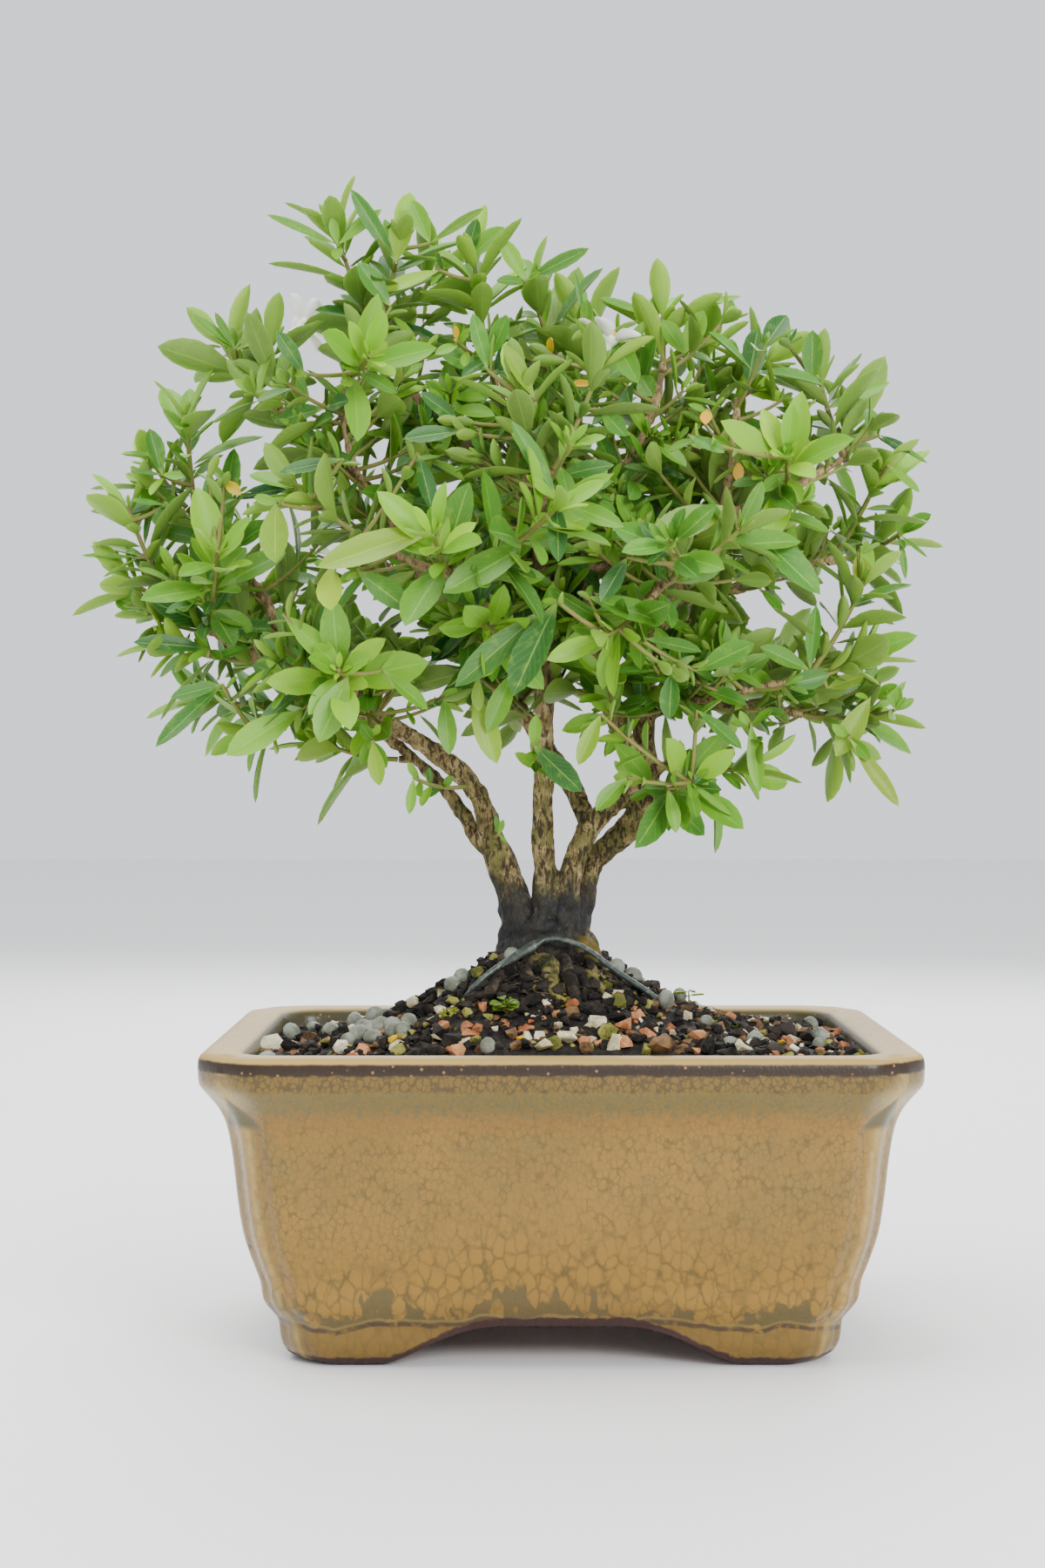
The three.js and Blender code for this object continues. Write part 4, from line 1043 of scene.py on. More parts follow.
def leaf_material(name, under):
    leaf = Shader(name, Specular_IOR_Level=0.32, Subsurface_Weight=0.12, Subsurface_Scale=1.2 * MM,
                  Subsurface_Radius=(0.5, 1, 0.2))
    tone = leaf.add("Attribute", {"attribute_name": "tone"}, {})
    shade, age, yellow = [leaf.add("SeparateColor", {}, [tone], i) for i in range(3)]
    uv = leaf.add("UVMap", {"uv_map": "leaf"}, {})
    u, v, _ = leaf.axes(uv)
    aside = abs(u - 0.5)
    spot = leaf.place()
    mottle = leaf.noise(spot, 0.45, 3)
    young = leaf.mix((0.13, 0.35, 0.010), (0.27, 0.49, 0.016), shade)
    mature = leaf.mix((0.008, 0.06, 0.012), (0.075, 0.25, 0.014), shade)
    colour = leaf.mix(young, mature, age)
    colour = leaf.mix(colour, (0.24, 0.40, 0.030), leaf.step(mottle, 0.5, 0.8) * 0.3)
    veins = leaf.add("Math", {"operation": "SINE"}, [(v - aside * 0.55) * 62])
    colour = leaf.mix(colour, (0.17, 0.34, 0.05), leaf.step(veins, 0.75, 1.0) * 0.16)
    rib = leaf.step(aside, 0.045, 0.015) * leaf.step(v, 1.0, 0.8)
    colour = leaf.mix(colour, (0.22, 0.42, 0.06), rib * 0.5)
    colour = leaf.mix(colour, (0.22, 0.34, 0.05), leaf.step(v, 0.16, 0.0) * 0.8)
    if under:
        colour = leaf.mix(colour, (0.20, 0.27, 0.05), 0.5)
    colour = leaf.mix(colour, (0.60, 0.34, 0.001), yellow)
    height = 1 - rib * 0.8 - leaf.step(veins, 0.3, 1.0) * 0.25 + mottle * 0.3
    return leaf.feed(bump=height, strength=0.35, distance=0.14 * MM, Base_Color=colour,
                     Roughness=0.36 + mottle * 0.12 + (0.14 if under else 0.0))


def petal_material():
    petal = Shader("petal_white", Subsurface_Weight=0.15, Subsurface_Scale=1 * MM)
    uv = petal.add("UVMap", {"uv_map": "leaf"}, {})
    u, v, _ = petal.axes(uv)
    streak = petal.noise(petal.stretched(uv, (22, 1.5, 1)), 1, 2)
    colour = petal.mix((0.80, 0.82, 0.70), (0.92, 0.91, 0.87), petal.step(v, 0.05, 0.4))
    colour = petal.mix(colour, (0.74, 0.72, 0.66), petal.step(streak, 0.55, 0.75) * 0.3)
    return petal.feed(bump=streak, strength=0.2, Base_Color=colour, Roughness=0.55 + streak * 0.1)


LEAF_MATERIALS = [leaf_material("leaf_upper", False), leaf_material("leaf_underside", True)]
LEAF_MATERIALS.append(plain_material("young_stem", (0.15, 0.20, 0.03), (0.24, 0.17, 0.06), 1.1, 3,
                                     fade=(0.4, 0.65), stretch=(1, 1, 0.5), rough=(0.55, 0.15),
                                     Specular_IOR_Level=0.3))
STEM_INDEX = 2
petal_white = petal_material()
print([m.name for m in LEAF_MATERIALS])

# %% [markdown]
# ## Placing a leaf
# A leaf could be an object of its own, but thousands of them would be slow. So the template is added to one
# bmesh again and again, and each time its points are moved at once to where the leaf's rule puts them.

# %% Placing one leaf


class Leaf:
    """Where a leaf grows on a bow, and its measures in millimetres and degrees."""

    def __init__(self, bow, t, roll, turn, length, lean, droop, aside=(0, 0), width=0.31,
                 tone=(0.5, 0.5, 0)):
        face_out = bow.across(t, roll)
        out = bow.across(t, roll + turn + aside[0])
        axis = bow.along(t)
        tilt = math.radians(max(lean + aside[1], 20))
        self.along = axis * math.cos(tilt) + out * math.sin(tilt)
        self.face = (axis - self.along * axis.dot(self.along)).normalized()
        self.base = bow.point(t) + face_out * STEM_RADIUS * 0.7
        self.length, self.width, self.droop, self.tone = length, length * width, droop, tone

    def tip(self):
        return self.base + (self.along - self.face * self.droop) * self.length

    def points(self):
        """Places of the template's vertices on this leaf, as an array."""
        side = self.along.cross(self.face)
        half = self.width / 2 * np.sin(math.pi * leaf_reach**1.3).clip(0.02) ** 0.7
        lift = 0.3 * half * abs(leaf_u) ** 1.4 - self.droop * self.length * leaf_reach**2
        lift += leaf_depth * LEAF_THICKNESS
        parts = [(side, half * leaf_u), (self.along, self.length * leaf_reach), (self.face, lift)]
        return np.array(self.base) + sum(amount[:, None] * np.array(way) for way, amount in parts)


def add_leaf(bm, leaf, mesh=leaf_mesh):
    first = len(bm.verts)
    bm.from_mesh(mesh)
    bm.verts.ensure_lookup_table()
    tone = bm.verts.layers.float_color["tone"]
    for vert, place in zip(bm.verts[first:], leaf.points()):
        vert.co = place
        vert[tone] = (*leaf.tone, 1)


print("each leaf has", len(leaf_u), "points")

# %% [markdown]
# ## The leafy shoots
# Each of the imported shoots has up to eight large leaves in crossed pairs. Their rule draws the same seeded
# numbers as the solids do, so a fine leaf lies where each solid leaf is. Where a solid leaf was turned aside
# to clear its neighbour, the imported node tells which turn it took: the leaf's tip is one of its vertices.

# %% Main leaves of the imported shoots
PAIRS = [(1.2, 12.5, 26), (5, 16.5, 46), (10.5, 18, 60), (17.5, 16, 72)]
ASIDES = [(0, 0), (14, 8), (-14, 8), (8, -14), (-22, -10), (26, 16)]
BAND = 0.33


def node_points(name):
    """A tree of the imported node's vertices, in millimetres from the middle of the pot's foot."""
    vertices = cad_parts[name].data.vertices
    tree = kdtree.KDTree(len(vertices))
    for i, vertex in enumerate(vertices):
        tree.insert((vertex.co - HOME) / MM, i)
    tree.balance()
    return tree


def main_leaves(number, bow):
    draw = Draws(number + 11)
    look = Draws(number + 500)
    first_roll = 90 * draw()
    packed = node_points(f"leafy_shoot_{number + 1:02d}")
    shoot_age = look.between(-0.25, 0.35)
    leaves = []
    for pair, (down, length, angle) in enumerate(PAIRS):
        t = 1 - down / bow.reach
        half = BAND / math.sin(math.radians(angle)) / bow.reach
        for opposite in (0, 180):
            turn = 24 * (draw() - 0.5)
            size = length * (0.88 + 0.24 * draw())
            lean = angle + 16 * (draw() - 0.5)
            droop = 0.04 + 0.14 * draw()
            age = max(0, min(1, 0.1 + 0.27 * pair + shoot_age + look.between(-0.3, 0.3)))
            tone = (look(), age, 0)
            width = look.between(0.29, 0.41)
            roll = first_roll + 90 * pair + opposite
            if t - half <= bow.start + (GAP + 0.5) / bow.reach:
                continue
            for aside in ASIDES:
                leaf = Leaf(bow, t, roll, turn, size, lean, droop, aside, width, tone)
                if packed.find(leaf.tip())[2] < 0.2:
                    leaves.append(leaf)
                    break
    return first_roll, shoot_age, leaves


found = [main_leaves(number, bow) for number, bow in enumerate(bows)]
print(sum(len(leaves) for _, _, leaves in found), "main leaves found in the packed shoots")

# %% [markdown]
# ## Small leaves and sprigs
# A real serissa also carries a bud of tiny leaves at each tip, smaller leaves between the big ones, and
# short sprigs on its twigs. They fill the crown without changing its outline much.

# %% Small leaves


def leaf_piece_bm():
    bm = bmesh.new()
    bm.verts.layers.float_color.new("tone")
    return bm


def leafy_piece(name, bm, stems, nodes=()):
    """A piece of leaves, with the green stems that carry them."""
    add_tubes(bm, stems, STEM_INDEX, sides=6, smoothness=2)
    return new_piece(name, bm, LEAF_MATERIALS, nodes)


def tip_leaves(bow, look, age):
    """The bud of small upright leaves at the end of a stem."""
    leaves = []
    roll = 360 * look()
    for i in range(4):
        size = look.between(3.5, 8) * (1 - 0.12 * i)
        tone = (look.between(0.4, 1), max(0, age + look.between(-0.3, 0.1)), 0)
        leaves.append(Leaf(bow, 0.97 + 0.007 * i, roll + 95 * i, look.between(-15, 15), size,
                           look.between(20, 38), look.between(0, 0.12),
                           width=look.between(0.28, 0.38), tone=tone))
    return leaves


def axil_leaves(bow, look, first_roll, age):
    """Smaller leaves beside and between the big pairs of a packed shoot."""
    leaves = []
    for pair, down in enumerate((3.0, 5.6, 8.0, 11.2, 14, 18.2, 21)):
        t = 1 - down / bow.reach
        if t < bow.start + 1 / bow.reach:
            continue
        for opposite in (0, 180):
            roll = first_roll + 45 + 90 * pair + opposite
            size = look.between(6.5, 12.5)
            tone = (look(), max(0, min(1, age + 0.12 * pair + look.between(-0.3, 0.3))), 0)
            leaves.append(Leaf(bow, t, roll, look.between(-25, 25), size, look.between(32, 74),
                               look.between(0, 0.2), width=look.between(0.3, 0.44), tone=tone))
    return leaves


print("leaves for tips and axils ready")

# %% [markdown]
# A sprig is a short bowed stem with a bud and pairs of leaves of its own.

# %% Sprigs


def sprig(first, tip, look, size, age, sag=0.1, step=4.5):
    """A short leafy stem: its bow and its leaves, larger towards the middle."""
    bow = Bow(first, tip, sag=sag)
    leaves = tip_leaves(bow, look, age)
    count = max(1, int((bow.reach - 2) / step))
    roll = 360 * look()
    for pair in range(count):
        t = 1 - (1.6 + step * pair) / bow.reach
        for opposite in (0, 180):
            length = size * look.between(0.75, 1.15) * (0.8 + 0.35 * min(pair, 2) / 2)
            tone = (look(), max(0, min(1, age + 0.15 * pair + look.between(-0.3, 0.3))), 0)
            leaves.append(Leaf(bow, t, roll + 90 * pair + opposite, look.between(-25, 25), length,
                               look.between(34, 66) + 5 * pair, look.between(0.0, 0.22),
                               width=look.between(0.3, 0.45), tone=tone))
    return bow, leaves


def stem_line(bow, start, thick, thin):
    return [(*bow.point(start + (1 - start) * k / 4), thick + (thin - thick) * k / 4) for k in range(5)]


def side_sprigs(bow, look, age, spacing=5.5):
    """Sprigs along the woody twig below a packed shoot."""
    sprigs = []
    distance = 4 + spacing * look()
    while distance < bow.start * bow.reach:
        t = distance / bow.reach
        out = bow.across(t, 360 * look())
        length = look.between(7, 13)
        way = (out + bow.along(t) * 0.7 + Vector((0, 0, 0.35))).normalized()
        size = look.between(9, 14)
        foot = bow.point(t)
        sprigs.append(sprig(foot, foot + way * length, look, size, age + look.between(0, 0.3)))
        distance += spacing * look.between(0.7, 1.3)
    return sprigs


LEAF_LOW, LEAF_HIGH = [(corner - HOME) / MM for corner in (Vector(cad_box[0]), Vector(cad_box[1]))]


def inside_box(leaf):
    tip = leaf.tip()
    return all(low < value < high for low, value, high in zip(LEAF_LOW, tip, LEAF_HIGH))


print("room for leaves", [round(v, 1) for v in LEAF_HIGH - LEAF_LOW])

# %% [markdown]
# Now every packed shoot is dressed: its main leaves, its small ones, its sprigs and its green stem are one
# piece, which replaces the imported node.

# %% Dressing the shoots
for number, bow in enumerate(bows):
    first_roll, shoot_age, leaves = found[number]
    look = Draws(number + 900)
    age = 0.25 + shoot_age
    small = tip_leaves(bow, look, age) + axil_leaves(bow, look, first_roll, age)
    stems = [stem_line(bow, bow.start + GAP / bow.reach, STEM_RADIUS * 1.05, STEM_RADIUS * 0.72)]
    for side_bow, side_leaves in side_sprigs(bow, look, age + 0.2):
        stems.append(stem_line(side_bow, 0, 0.5, 0.35))
        small += side_leaves
    bm = leaf_piece_bm()
    for leaf in leaves + [leaf for leaf in small if inside_box(leaf)]:
        add_leaf(bm, leaf)
    name = f"leafy_shoot_{number + 1:02d}"
    leafy_piece(name + "_leaves", bm, stems, [name])
print("shoots dressed")

# %% [markdown]
# The limbs inside the crown carry sprigs of their own. Without them the crown is a hollow shell of shoots.

# %% Sprigs on the limbs


def limb_sprigs(line, look, lowest=134, spacing=2.9):
    sprigs = []
    for start, end in zip(line, line[1:]):
        a, b = Vector(start[:3]), Vector(end[:3])
        distance = spacing * look()
        while distance < (b - a).length:
            t = distance / (b - a).length
            point = a.lerp(b, t)
            distance += spacing * look.between(0.6, 1.4)
            turn = 2 * math.pi * look()
            out = Vector((math.cos(turn), math.sin(turn), look.between(-0.2, 0.8)))
            out = (out + (b - a).normalized() * 0.5).normalized()
            length = look.between(9, 19)
            age = look.between(0.4, 1.1)
            size = look.between(10, 15)
            if point.z > lowest:
                sprigs.append(sprig(point, point + out * length, look, size, age))
    return sprigs


inner_count = 0
for number, (name, line) in enumerate(LIMBS.items()):
    look = Draws(number + 1500)
    sprigs = limb_sprigs(line, look)
    if not sprigs:
        continue
    bm = leaf_piece_bm()
    for _, leaves in sprigs:
        for leaf in filter(inside_box, leaves):
            add_leaf(bm, leaf)
            inner_count += 1
    leafy_piece("sprigs_on_" + name, bm, [stem_line(bow, 0, 0.55, 0.35) for bow, _ in sprigs])
print(inner_count, "leaves on the limbs")

# %% [markdown]
# ## Leaves that stand out
# Some leaves give this tree its look: the long ones over its top, the narrow tips on the left, the dark
# blades against the pale inside. They were measured on the photograph, so a helper turns a pixel and a depth
# into millimetres. Each one grows from a stem that springs from the nearest twig or limb, so it sits right
# from any side.

# %% From a pixel to a place
PHOTO_MIDDLE, PHOTO_LEVEL, PHOTO_FOCUS = 600, 886, 2885
LOWEST_CARRIER = 100
UPHILL_COST = 0.8


def seen(x, y, depth):
    """Where a pixel of the photograph lies, at a depth behind the pot's middle (below 0: in front of it)."""
    k = (depth - CAMERA_PLACE[1]) / PHOTO_FOCUS
    return Vector((CAMERA_PLACE[0] + (x - PHOTO_MIDDLE) * k, depth, CAMERA_PLACE[2] + (PHOTO_LEVEL - y) * k))


class PlacedLeaf(Leaf):
    """A leaf given by its base and by the ways that it points and faces, with its width in millimetres."""

    def __init__(self, base, along, axis, length, width, droop, tone=(0.5, 0, 0)):
        self.along = along
        self.face = (axis - along * axis.dot(along)).normalized()
        self.base, self.length, self.width, self.droop, self.tone = base, length, width, droop, tone


carriers = [bow.point(t) for bow in bows for t in np.linspace(0.1, 0.95, 14)]
carriers += [Vector(point[:3]) for line in LIMBS.values() for point in line if point[2] > LOWEST_CARRIER]


def carrier_of(base):
    """The point of the twigs and limbs that a new stem springs from; a higher one counts as farther."""
    def cost(point):
        return (point - base).length + UPHILL_COST * max(0, point.z + 1 - base.z)

    return min(carriers, key=cost)


print(len(carriers), "points that a stem can spring from")

# %% [markdown]
# The table holds what was read off the photograph. Depths are guesses, because one picture doesn't give
# them.

# %% Leaves measured on the photograph
# Each stem ends at pixel x, y and at a depth. Its leaves: tip pixel, millimetres that the tip comes forward,
# width as a share of length, age, and yellowing.
SEEN_LEAVES = {
    "top": [
        (388, 282, -8, [(307, 246, 3, 0.15, 0.45, 0), (438, 240, 2, 0.22, 0.5, 0),
                        (381, 250, 1, 0.36, 0.5, 0)]),
        (455, 302, -10, [(403, 217, 2, 0.2, 0.95, 0), (465, 245, 1, 0.5, 0.35, 0.1)]),
        (494, 280, -8, [(473, 230, 2, 0.42, 0.45, 0), (555, 239, 4, 0.17, 0.4, 0.05)]),
        (534, 300, -6, [(548, 251, 2, 0.38, 0.9, 0), (579, 261, 3, 0.4, 0.3, 0)]),
        (603, 323, -8, [(575, 274, 2, 0.38, 0.3, 0), (676, 285, 3, 0.22, 0.5, 0)]),
        (673, 380, -12, [(660, 311, 1, 0.09, 0.8, 0), (674, 344, 3, 0.4, 0.5, 0)]),
        (755, 366, -10, [(689, 340, 3, 0.17, 0.3, 0), (751, 338, 1, 0.5, 0.35, 0),
                         (851, 337, 2, 0.14, 0.45, 0)]),
        (786, 407, -16, [(760, 368, 3, 0.48, 0.15, 0), (808, 357, 2, 0.48, 0.2, 0)]),
        (449, 353, -20, [(411, 302, 3, 0.42, 1, 0)]), (505, 311, -14, [(440, 334, 4, 0.28, 0.15, 0.08)]),
        (905, 396, -8, [(888, 378, 2, 0.2, 0.7, 0), (897, 373, 1, 0.2, 0.7, 0), (906, 371, 0, 0.2, 0.7, 0),
                        (915, 377, 1, 0.2, 0.7, 0), (921, 386, 2, 0.2, 0.7, 0)]),
        (270, 400, -8, [(222, 360, 2, 0.2, 0.5, 0), (247, 359, 3, 0.22, 0.5, 0),
                        (301, 365, 2, 0.2, 0.5, 0)]),
        (524, 392, -22, [(523, 374, 2, 0.4, 0, 1)]), (633, 408, -30, [(632, 388, 3, 0.45, 0, 1)]),
        (684, 440, -20, [(656, 442, 3, 0.35, 0, 1)]),
        (597, 480, -40, [(592, 452, 4, 0.4, 0, 1), (606, 455, 2, 0.35, 0, 1)]),
        (812, 470, -24, [(810, 487, 4, 0.5, 0, 1)]), (848, 530, -24, [(848, 553, 3, 0.45, 0, 1)]),
        (258, 552, -22, [(276, 568, 4, 0.4, 0, 0.7)]),
    ],
    "left": [
        (160, 640, -4, [(93, 637, 2, 0.11, 0.4, 0), (118, 662, 2, 0.12, 0.4, 0),
                        (140, 622, 1, 0.16, 0.5, 0)]),
        (186, 545, -8, [(172, 492, 2, 0.42, 0.7, 0), (150, 541, 3, 0.2, 0.5, 0),
                        (212, 548, 2, 0.4, 0.6, 0)]),
        (190, 580, -6, [(150, 573, 3, 0.17, 0.8, 0), (178, 600, 2, 0.4, 0.9, 0)]),
        (240, 745, -14, [(154, 735, 5, 0.27, 0.75, 0), (216, 760, 5, 0.3, 0.6, 0)]),
        (255, 786, -22, [(178, 857, 4, 0.22, 0.8, 0), (196, 800, 3, 0.3, 0.85, 0)]),
        (345, 816, -30, [(260, 866, 5, 0.36, 0.3, 0)]), (400, 776, -44, [(366, 852, 4, 0.45, 0.35, 0)]),
        (325, 705, -40, [(390, 766, 4, 0.3, 0.3, 0)]), (440, 770, -44, [(491, 815, 3, 0.3, 0.3, 0)]),
        (317, 577, -46, [(315, 645, 4, 0.5, 0.15, 0.1)]), (380, 650, -48, [(379, 700, 3, 0.6, 0.1, 0.15)]),
        (394, 527, -44, [(321, 542, 4, 0.22, 0.9, 0)]), (428, 852, -30, [(436, 902, 3, 0.38, 0.2, 0.1)]),
        (475, 893, -30, [(470, 935, 3, 0.28, 0.3, 0)]), (543, 795, -34, [(571, 876, 3, 0.34, 0.25, 0.1)]),
        (510, 800, -30, [(516, 866, 3, 0.33, 0.45, 0)]), (240, 540, -20, [(246, 610, 3, 0.35, 0.9, 0)]),
        (480, 520, -40, [(497, 585, 4, 0.3, 0.95, 0)]), (350, 430, -36, [(318, 380, 3, 0.34, 0.8, 0)]),
    ],
    "front": [
        (505, 605, -52, [(364, 650, 6, 0.27, 0.15, 0.12)]), (640, 575, -56, [
            (589, 483, 4, 0.22, 0.85, 0), (716, 603, 5, 0.3, 0.4, 0), (641, 645, 5, 0.3, 0.8, 0),
            (703, 545, 4, 0.26, 0.2, 0), (604, 546, 5, 0.3, 0.15, 0)]),
        (614, 458, -44, [(578, 395, 4, 0.3, 0.5, 0.1)]), (530, 495, -40, [(463, 503, 4, 0.33, 1, 0)]),
        (526, 483, -34, [(484, 451, 4, 0.38, 1, 0)]), (855, 600, -40, [(943, 681, 4, 0.33, 0.95, 0)]),
        (612, 855, -26, [(668, 909, 4, 0.36, 0.95, 0)]), (675, 685, -46, [(762, 713, 4, 0.34, 0.6, 0)]),
        (740, 733, -40, [(806, 748, 3, 0.28, 0.5, 0)]), (800, 770, -40, [(866, 738, 3, 0.4, 0.7, 0)]),
        (640, 690, -50, [(588, 798, 5, 0.36, 0.75, 0)]), (615, 620, -52, [(508, 681, 5, 0.3, 0.4, 0)]),
        (625, 700, -46, [(522, 788, 4, 0.24, 0.6, 0)]), (842, 582, -44, [(745, 616, 5, 0.36, 0.75, 0.1)]),
        (772, 770, -42, [(768, 826, 3, 0.42, 0.75, 0)]), (590, 770, -34, [(560, 840, 3, 0.34, 0.3, 0)]),
        (700, 380, -40, [(733, 440, 3, 0.36, 0.6, 0)]), (790, 500, -40, [(832, 520, 4, 0.32, 0.85, 0)]),
        (560, 425, -44, [(543, 360, 3, 0.3, 0.85, 0)]), (690, 470, -44, [(718, 500, 3, 0.5, 0.85, 0)]),
        (410, 655, -46, [(470, 700, 4, 0.4, 0.6, 0)]), (720, 640, -46, [(690, 690, 4, 0.36, 0.9, 0)]),
    ],
    "right": [
        (932, 442, -10, [(933, 379, 2, 0.4, 0.5, 0)]), (950, 470, -10, [(1021, 437, 3, 0.27, 0.3, 0)]),
        (1033, 614, -4, [(1069, 590, 2, 0.5, 0.4, 0), (1065, 640, 2, 0.12, 0.4, 0),
                         (1040, 665, 2, 0.16, 0.4, 0)]),
        (985, 635, -10, [(993, 673, 3, 0.55, 0.15, 0.2)]), (965, 761, -12, [(1053, 728, 4, 0.32, 0.5, 0)]),
        (975, 847, -14, [(1033, 926, 3, 0.2, 0.45, 0.15)]), (950, 790, -14, [(993, 775, 3, 0.4, 0.6, 0.1)]),
        (790, 897, -22, [(841, 936, 3, 0.14, 0.3, 0)]), (767, 905, -24, [(777, 956, 3, 0.33, 0.3, 0)]),
        (862, 830, -20, [(872, 909, 3, 0.24, 0.35, 0)]), (832, 868, -22, [(798, 899, 3, 0.5, 0.85, 0)]),
        (1000, 800, -10, [(960, 868, 3, 0.35, 0.3, 0.1)]), (800, 815, -26, [(852, 860, 3, 0.28, 0.9, 0)]),
        (930, 770, -18, [(937, 695, 3, 0.24, 0.95, 0), (873, 742, 4, 0.33, 0.4, 0)]),
        (1028, 815, -10, [(1032, 788, 1, 0.5, 0.2, 0), (1018, 792, 2, 0.3, 0.3, 0),
                          (1040, 800, 2, 0.3, 0.3, 0)]),
        (1010, 500, -6, [(1045, 520, 3, 0.3, 0.8, 0), (1066, 530, 2, 0.12, 0.4, 0),
                         (1000, 470, 2, 0.34, 0.4, 0)]),
        (1020, 535, -8, [(1056, 565, 3, 0.25, 0.3, 0)]), (720, 893, -30, [(684, 930, 4, 0.4, 0.3, 0)]),
        (690, 820, -34, [(664, 878, 3, 0.33, 0.1, 0.1)]),
        (573, 958, -6, [(569, 936, 1, 0.3, 0.4, 0), (578, 941, 1, 0.4, 0.2, 0), (582, 968, 1, 0.3, 0.5, 0)]),
    ],
}
print(sum(len(rows) for rows in SEEN_LEAVES.values()), "stems measured")

# %% [markdown]
# A stem carries the leaves that were measured at its end. Small pairs of leaves follow along it where it is
# long. The stems and leaves of each side become one piece.

# %% Leaves that stand out
PAIR_SPACING = 7


def dress_stem(look, x, y, depth, rows, bm, stems):
    base = seen(x, y, depth)
    bow = Bow(carrier_of(base), base, sag=0.08)
    stems.append(stem_line(bow, 0, 0.6, 0.4))
    count = 0
    for tip_x, tip_y, forward, width, age, yellow in rows:
        way = seen(tip_x, tip_y, depth - forward) - base
        facing = Vector((look.between(-0.35, 0.35), -1, look.between(0.1, 0.7)))
        droop = look.between(0, 0.06)
        tone = (look(), min(1, age + 0.22), yellow)
        leaf = PlacedLeaf(base, way.normalized(), facing, way.length, way.length * width, droop, tone)
        if inside_box(leaf):
            add_leaf(bm, leaf)
            count += 1
    for pair in range(int(bow.reach / PAIR_SPACING)):
        t = 0.9 - 0.2 * pair
        turn = look.between(0, 180)
        for half_turn in (0, 180):
            along = bow.across(t, turn + half_turn) + bow.along(t) * 0.9
            size = look.between(4.5, 8)
            tone = (look(), look.between(0.3, 0.9), 0)
            leaf = PlacedLeaf(bow.point(t), along.normalized(), bow.along(t), size, size * 0.38, 0.1, tone)
            if t > 0.3 and inside_box(leaf):
                add_leaf(bm, leaf)
                count += 1
    return count


for number, (side, rows) in enumerate(SEEN_LEAVES.items()):
    look = Draws(number + 1700)
    bm = leaf_piece_bm()
    stems = []
    count = sum(dress_stem(look, *row, bm, stems) for row in rows)
    leafy_piece("long_leaves_" + side, bm, stems)
    print("long leaves", side, count)

# %% [markdown]
# ## The soil
# The soil is a mix: dark crumbs heaped over the root ball, with grit of burnt clay and pumice, and pellets
# of feed. The heap itself is a grid lifted by the same height rule as its solid, trimmed to the pot's inside
# by cutting planes. Its rim is then extruded down along the wall and closed, so it fills the pot.

# %% Soil heap
SOIL_INSET = 10.1
SOIL_CORNER = 8
SOIL_LEVELS = [(47, 12.5), (30, 14.9), (13, 21.4)]


def soil_material():
    soil = Shader("damp_soil", Specular_IOR_Level=0.35)
    spot = soil.place()
    coarse = soil.noise(spot, 0.55, 5, 0.7)
    fine = soil.noise(spot, 2.6, 4, 0.7)
    colour = soil.mix((0.006, 0.005, 0.004), (0.035, 0.026, 0.018), soil.step(coarse, 0.35, 0.7))
    colour = soil.mix(colour, (0.065, 0.045, 0.03), soil.step(fine, 0.58, 0.75) * 0.6)
    return soil.feed(bump=coarse + fine * 0.6, strength=1.0, distance=1.1 * MM, Base_Color=colour,
                     Roughness=0.62 + fine * 0.3)


def trim_to_pot(bm):
    """Cuts away what lies outside the pot's inner plan: four walls, and each corner as three planes."""
    a, b = POT_LENGTH / 2 - SOIL_INSET, POT_DEPTH / 2 - SOIL_INSET
    for turn in np.radians(np.arange(0, 360, 22.5)):
        way = Vector((math.cos(turn), math.sin(turn), 0))
        reach = (a - SOIL_CORNER) * abs(way.x) + (b - SOIL_CORNER) * abs(way.y) + SOIL_CORNER
        geom = bm.verts[:] + bm.edges[:] + bm.faces[:]
        bmesh.ops.bisect_plane(bm, geom=geom, plane_co=way * reach, plane_no=way, clear_outer=True)


damp_soil = soil_material()
soil_bm = bmesh.new()
bmesh.ops.create_grid(soil_bm, x_segments=150, y_segments=118, size=0.5)
for vert in soil_bm.verts:
    vert.co = (vert.co.x * POT_LENGTH, vert.co.y * POT_DEPTH, 0)
trim_to_pot(soil_bm)
bmesh.ops.remove_doubles(soil_bm, verts=soil_bm.verts[:], dist=0.05)
for vert in soil_bm.verts:
    x, y = vert.co.x, vert.co.y
    rough = noise.noise(Vector((x * 0.45, y * 0.45, 3))) * 0.8 + noise.noise(Vector((x, y, 9))) * 0.45
    vert.co.z = soil_height(x, y) + rough
edges = [e for e in soil_bm.edges if e.is_boundary]
a, b = POT_LENGTH / 2 - SOIL_INSET, POT_DEPTH / 2 - SOIL_INSET
for level, inset in SOIL_LEVELS:
    made = bmesh.ops.extrude_edge_only(soil_bm, edges=edges)["geom"]
    k = ((POT_LENGTH / 2 - inset) / a, (POT_DEPTH / 2 - inset) / b)
    a, b = a * k[0], b * k[1]
    grown = {v for v in made if isinstance(v, bmesh.types.BMVert)}
    for vert in grown:
        vert.co = (vert.co.x * k[0], vert.co.y * k[1], level)
    edges = edges_between(made, grown)
bmesh.ops.contextual_create(soil_bm, geom=edges)
bmesh.ops.recalc_face_normals(soil_bm, faces=soil_bm.faces[:])
soil = new_piece("soil_heap", soil_bm, [damp_soil], ["soil"])
print("soil", len(soil.data.polygons), "faces")

# %% [markdown]
# ## Grit, crumbs and feed pellets
# A stone with flat, sharp sides is the hull round a few random points. Six hulls, scaled and turned each
# time, are enough for thousands of grains, because nobody compares two of them. The round pellets are small
# spheres.

# %% Stones and pellets


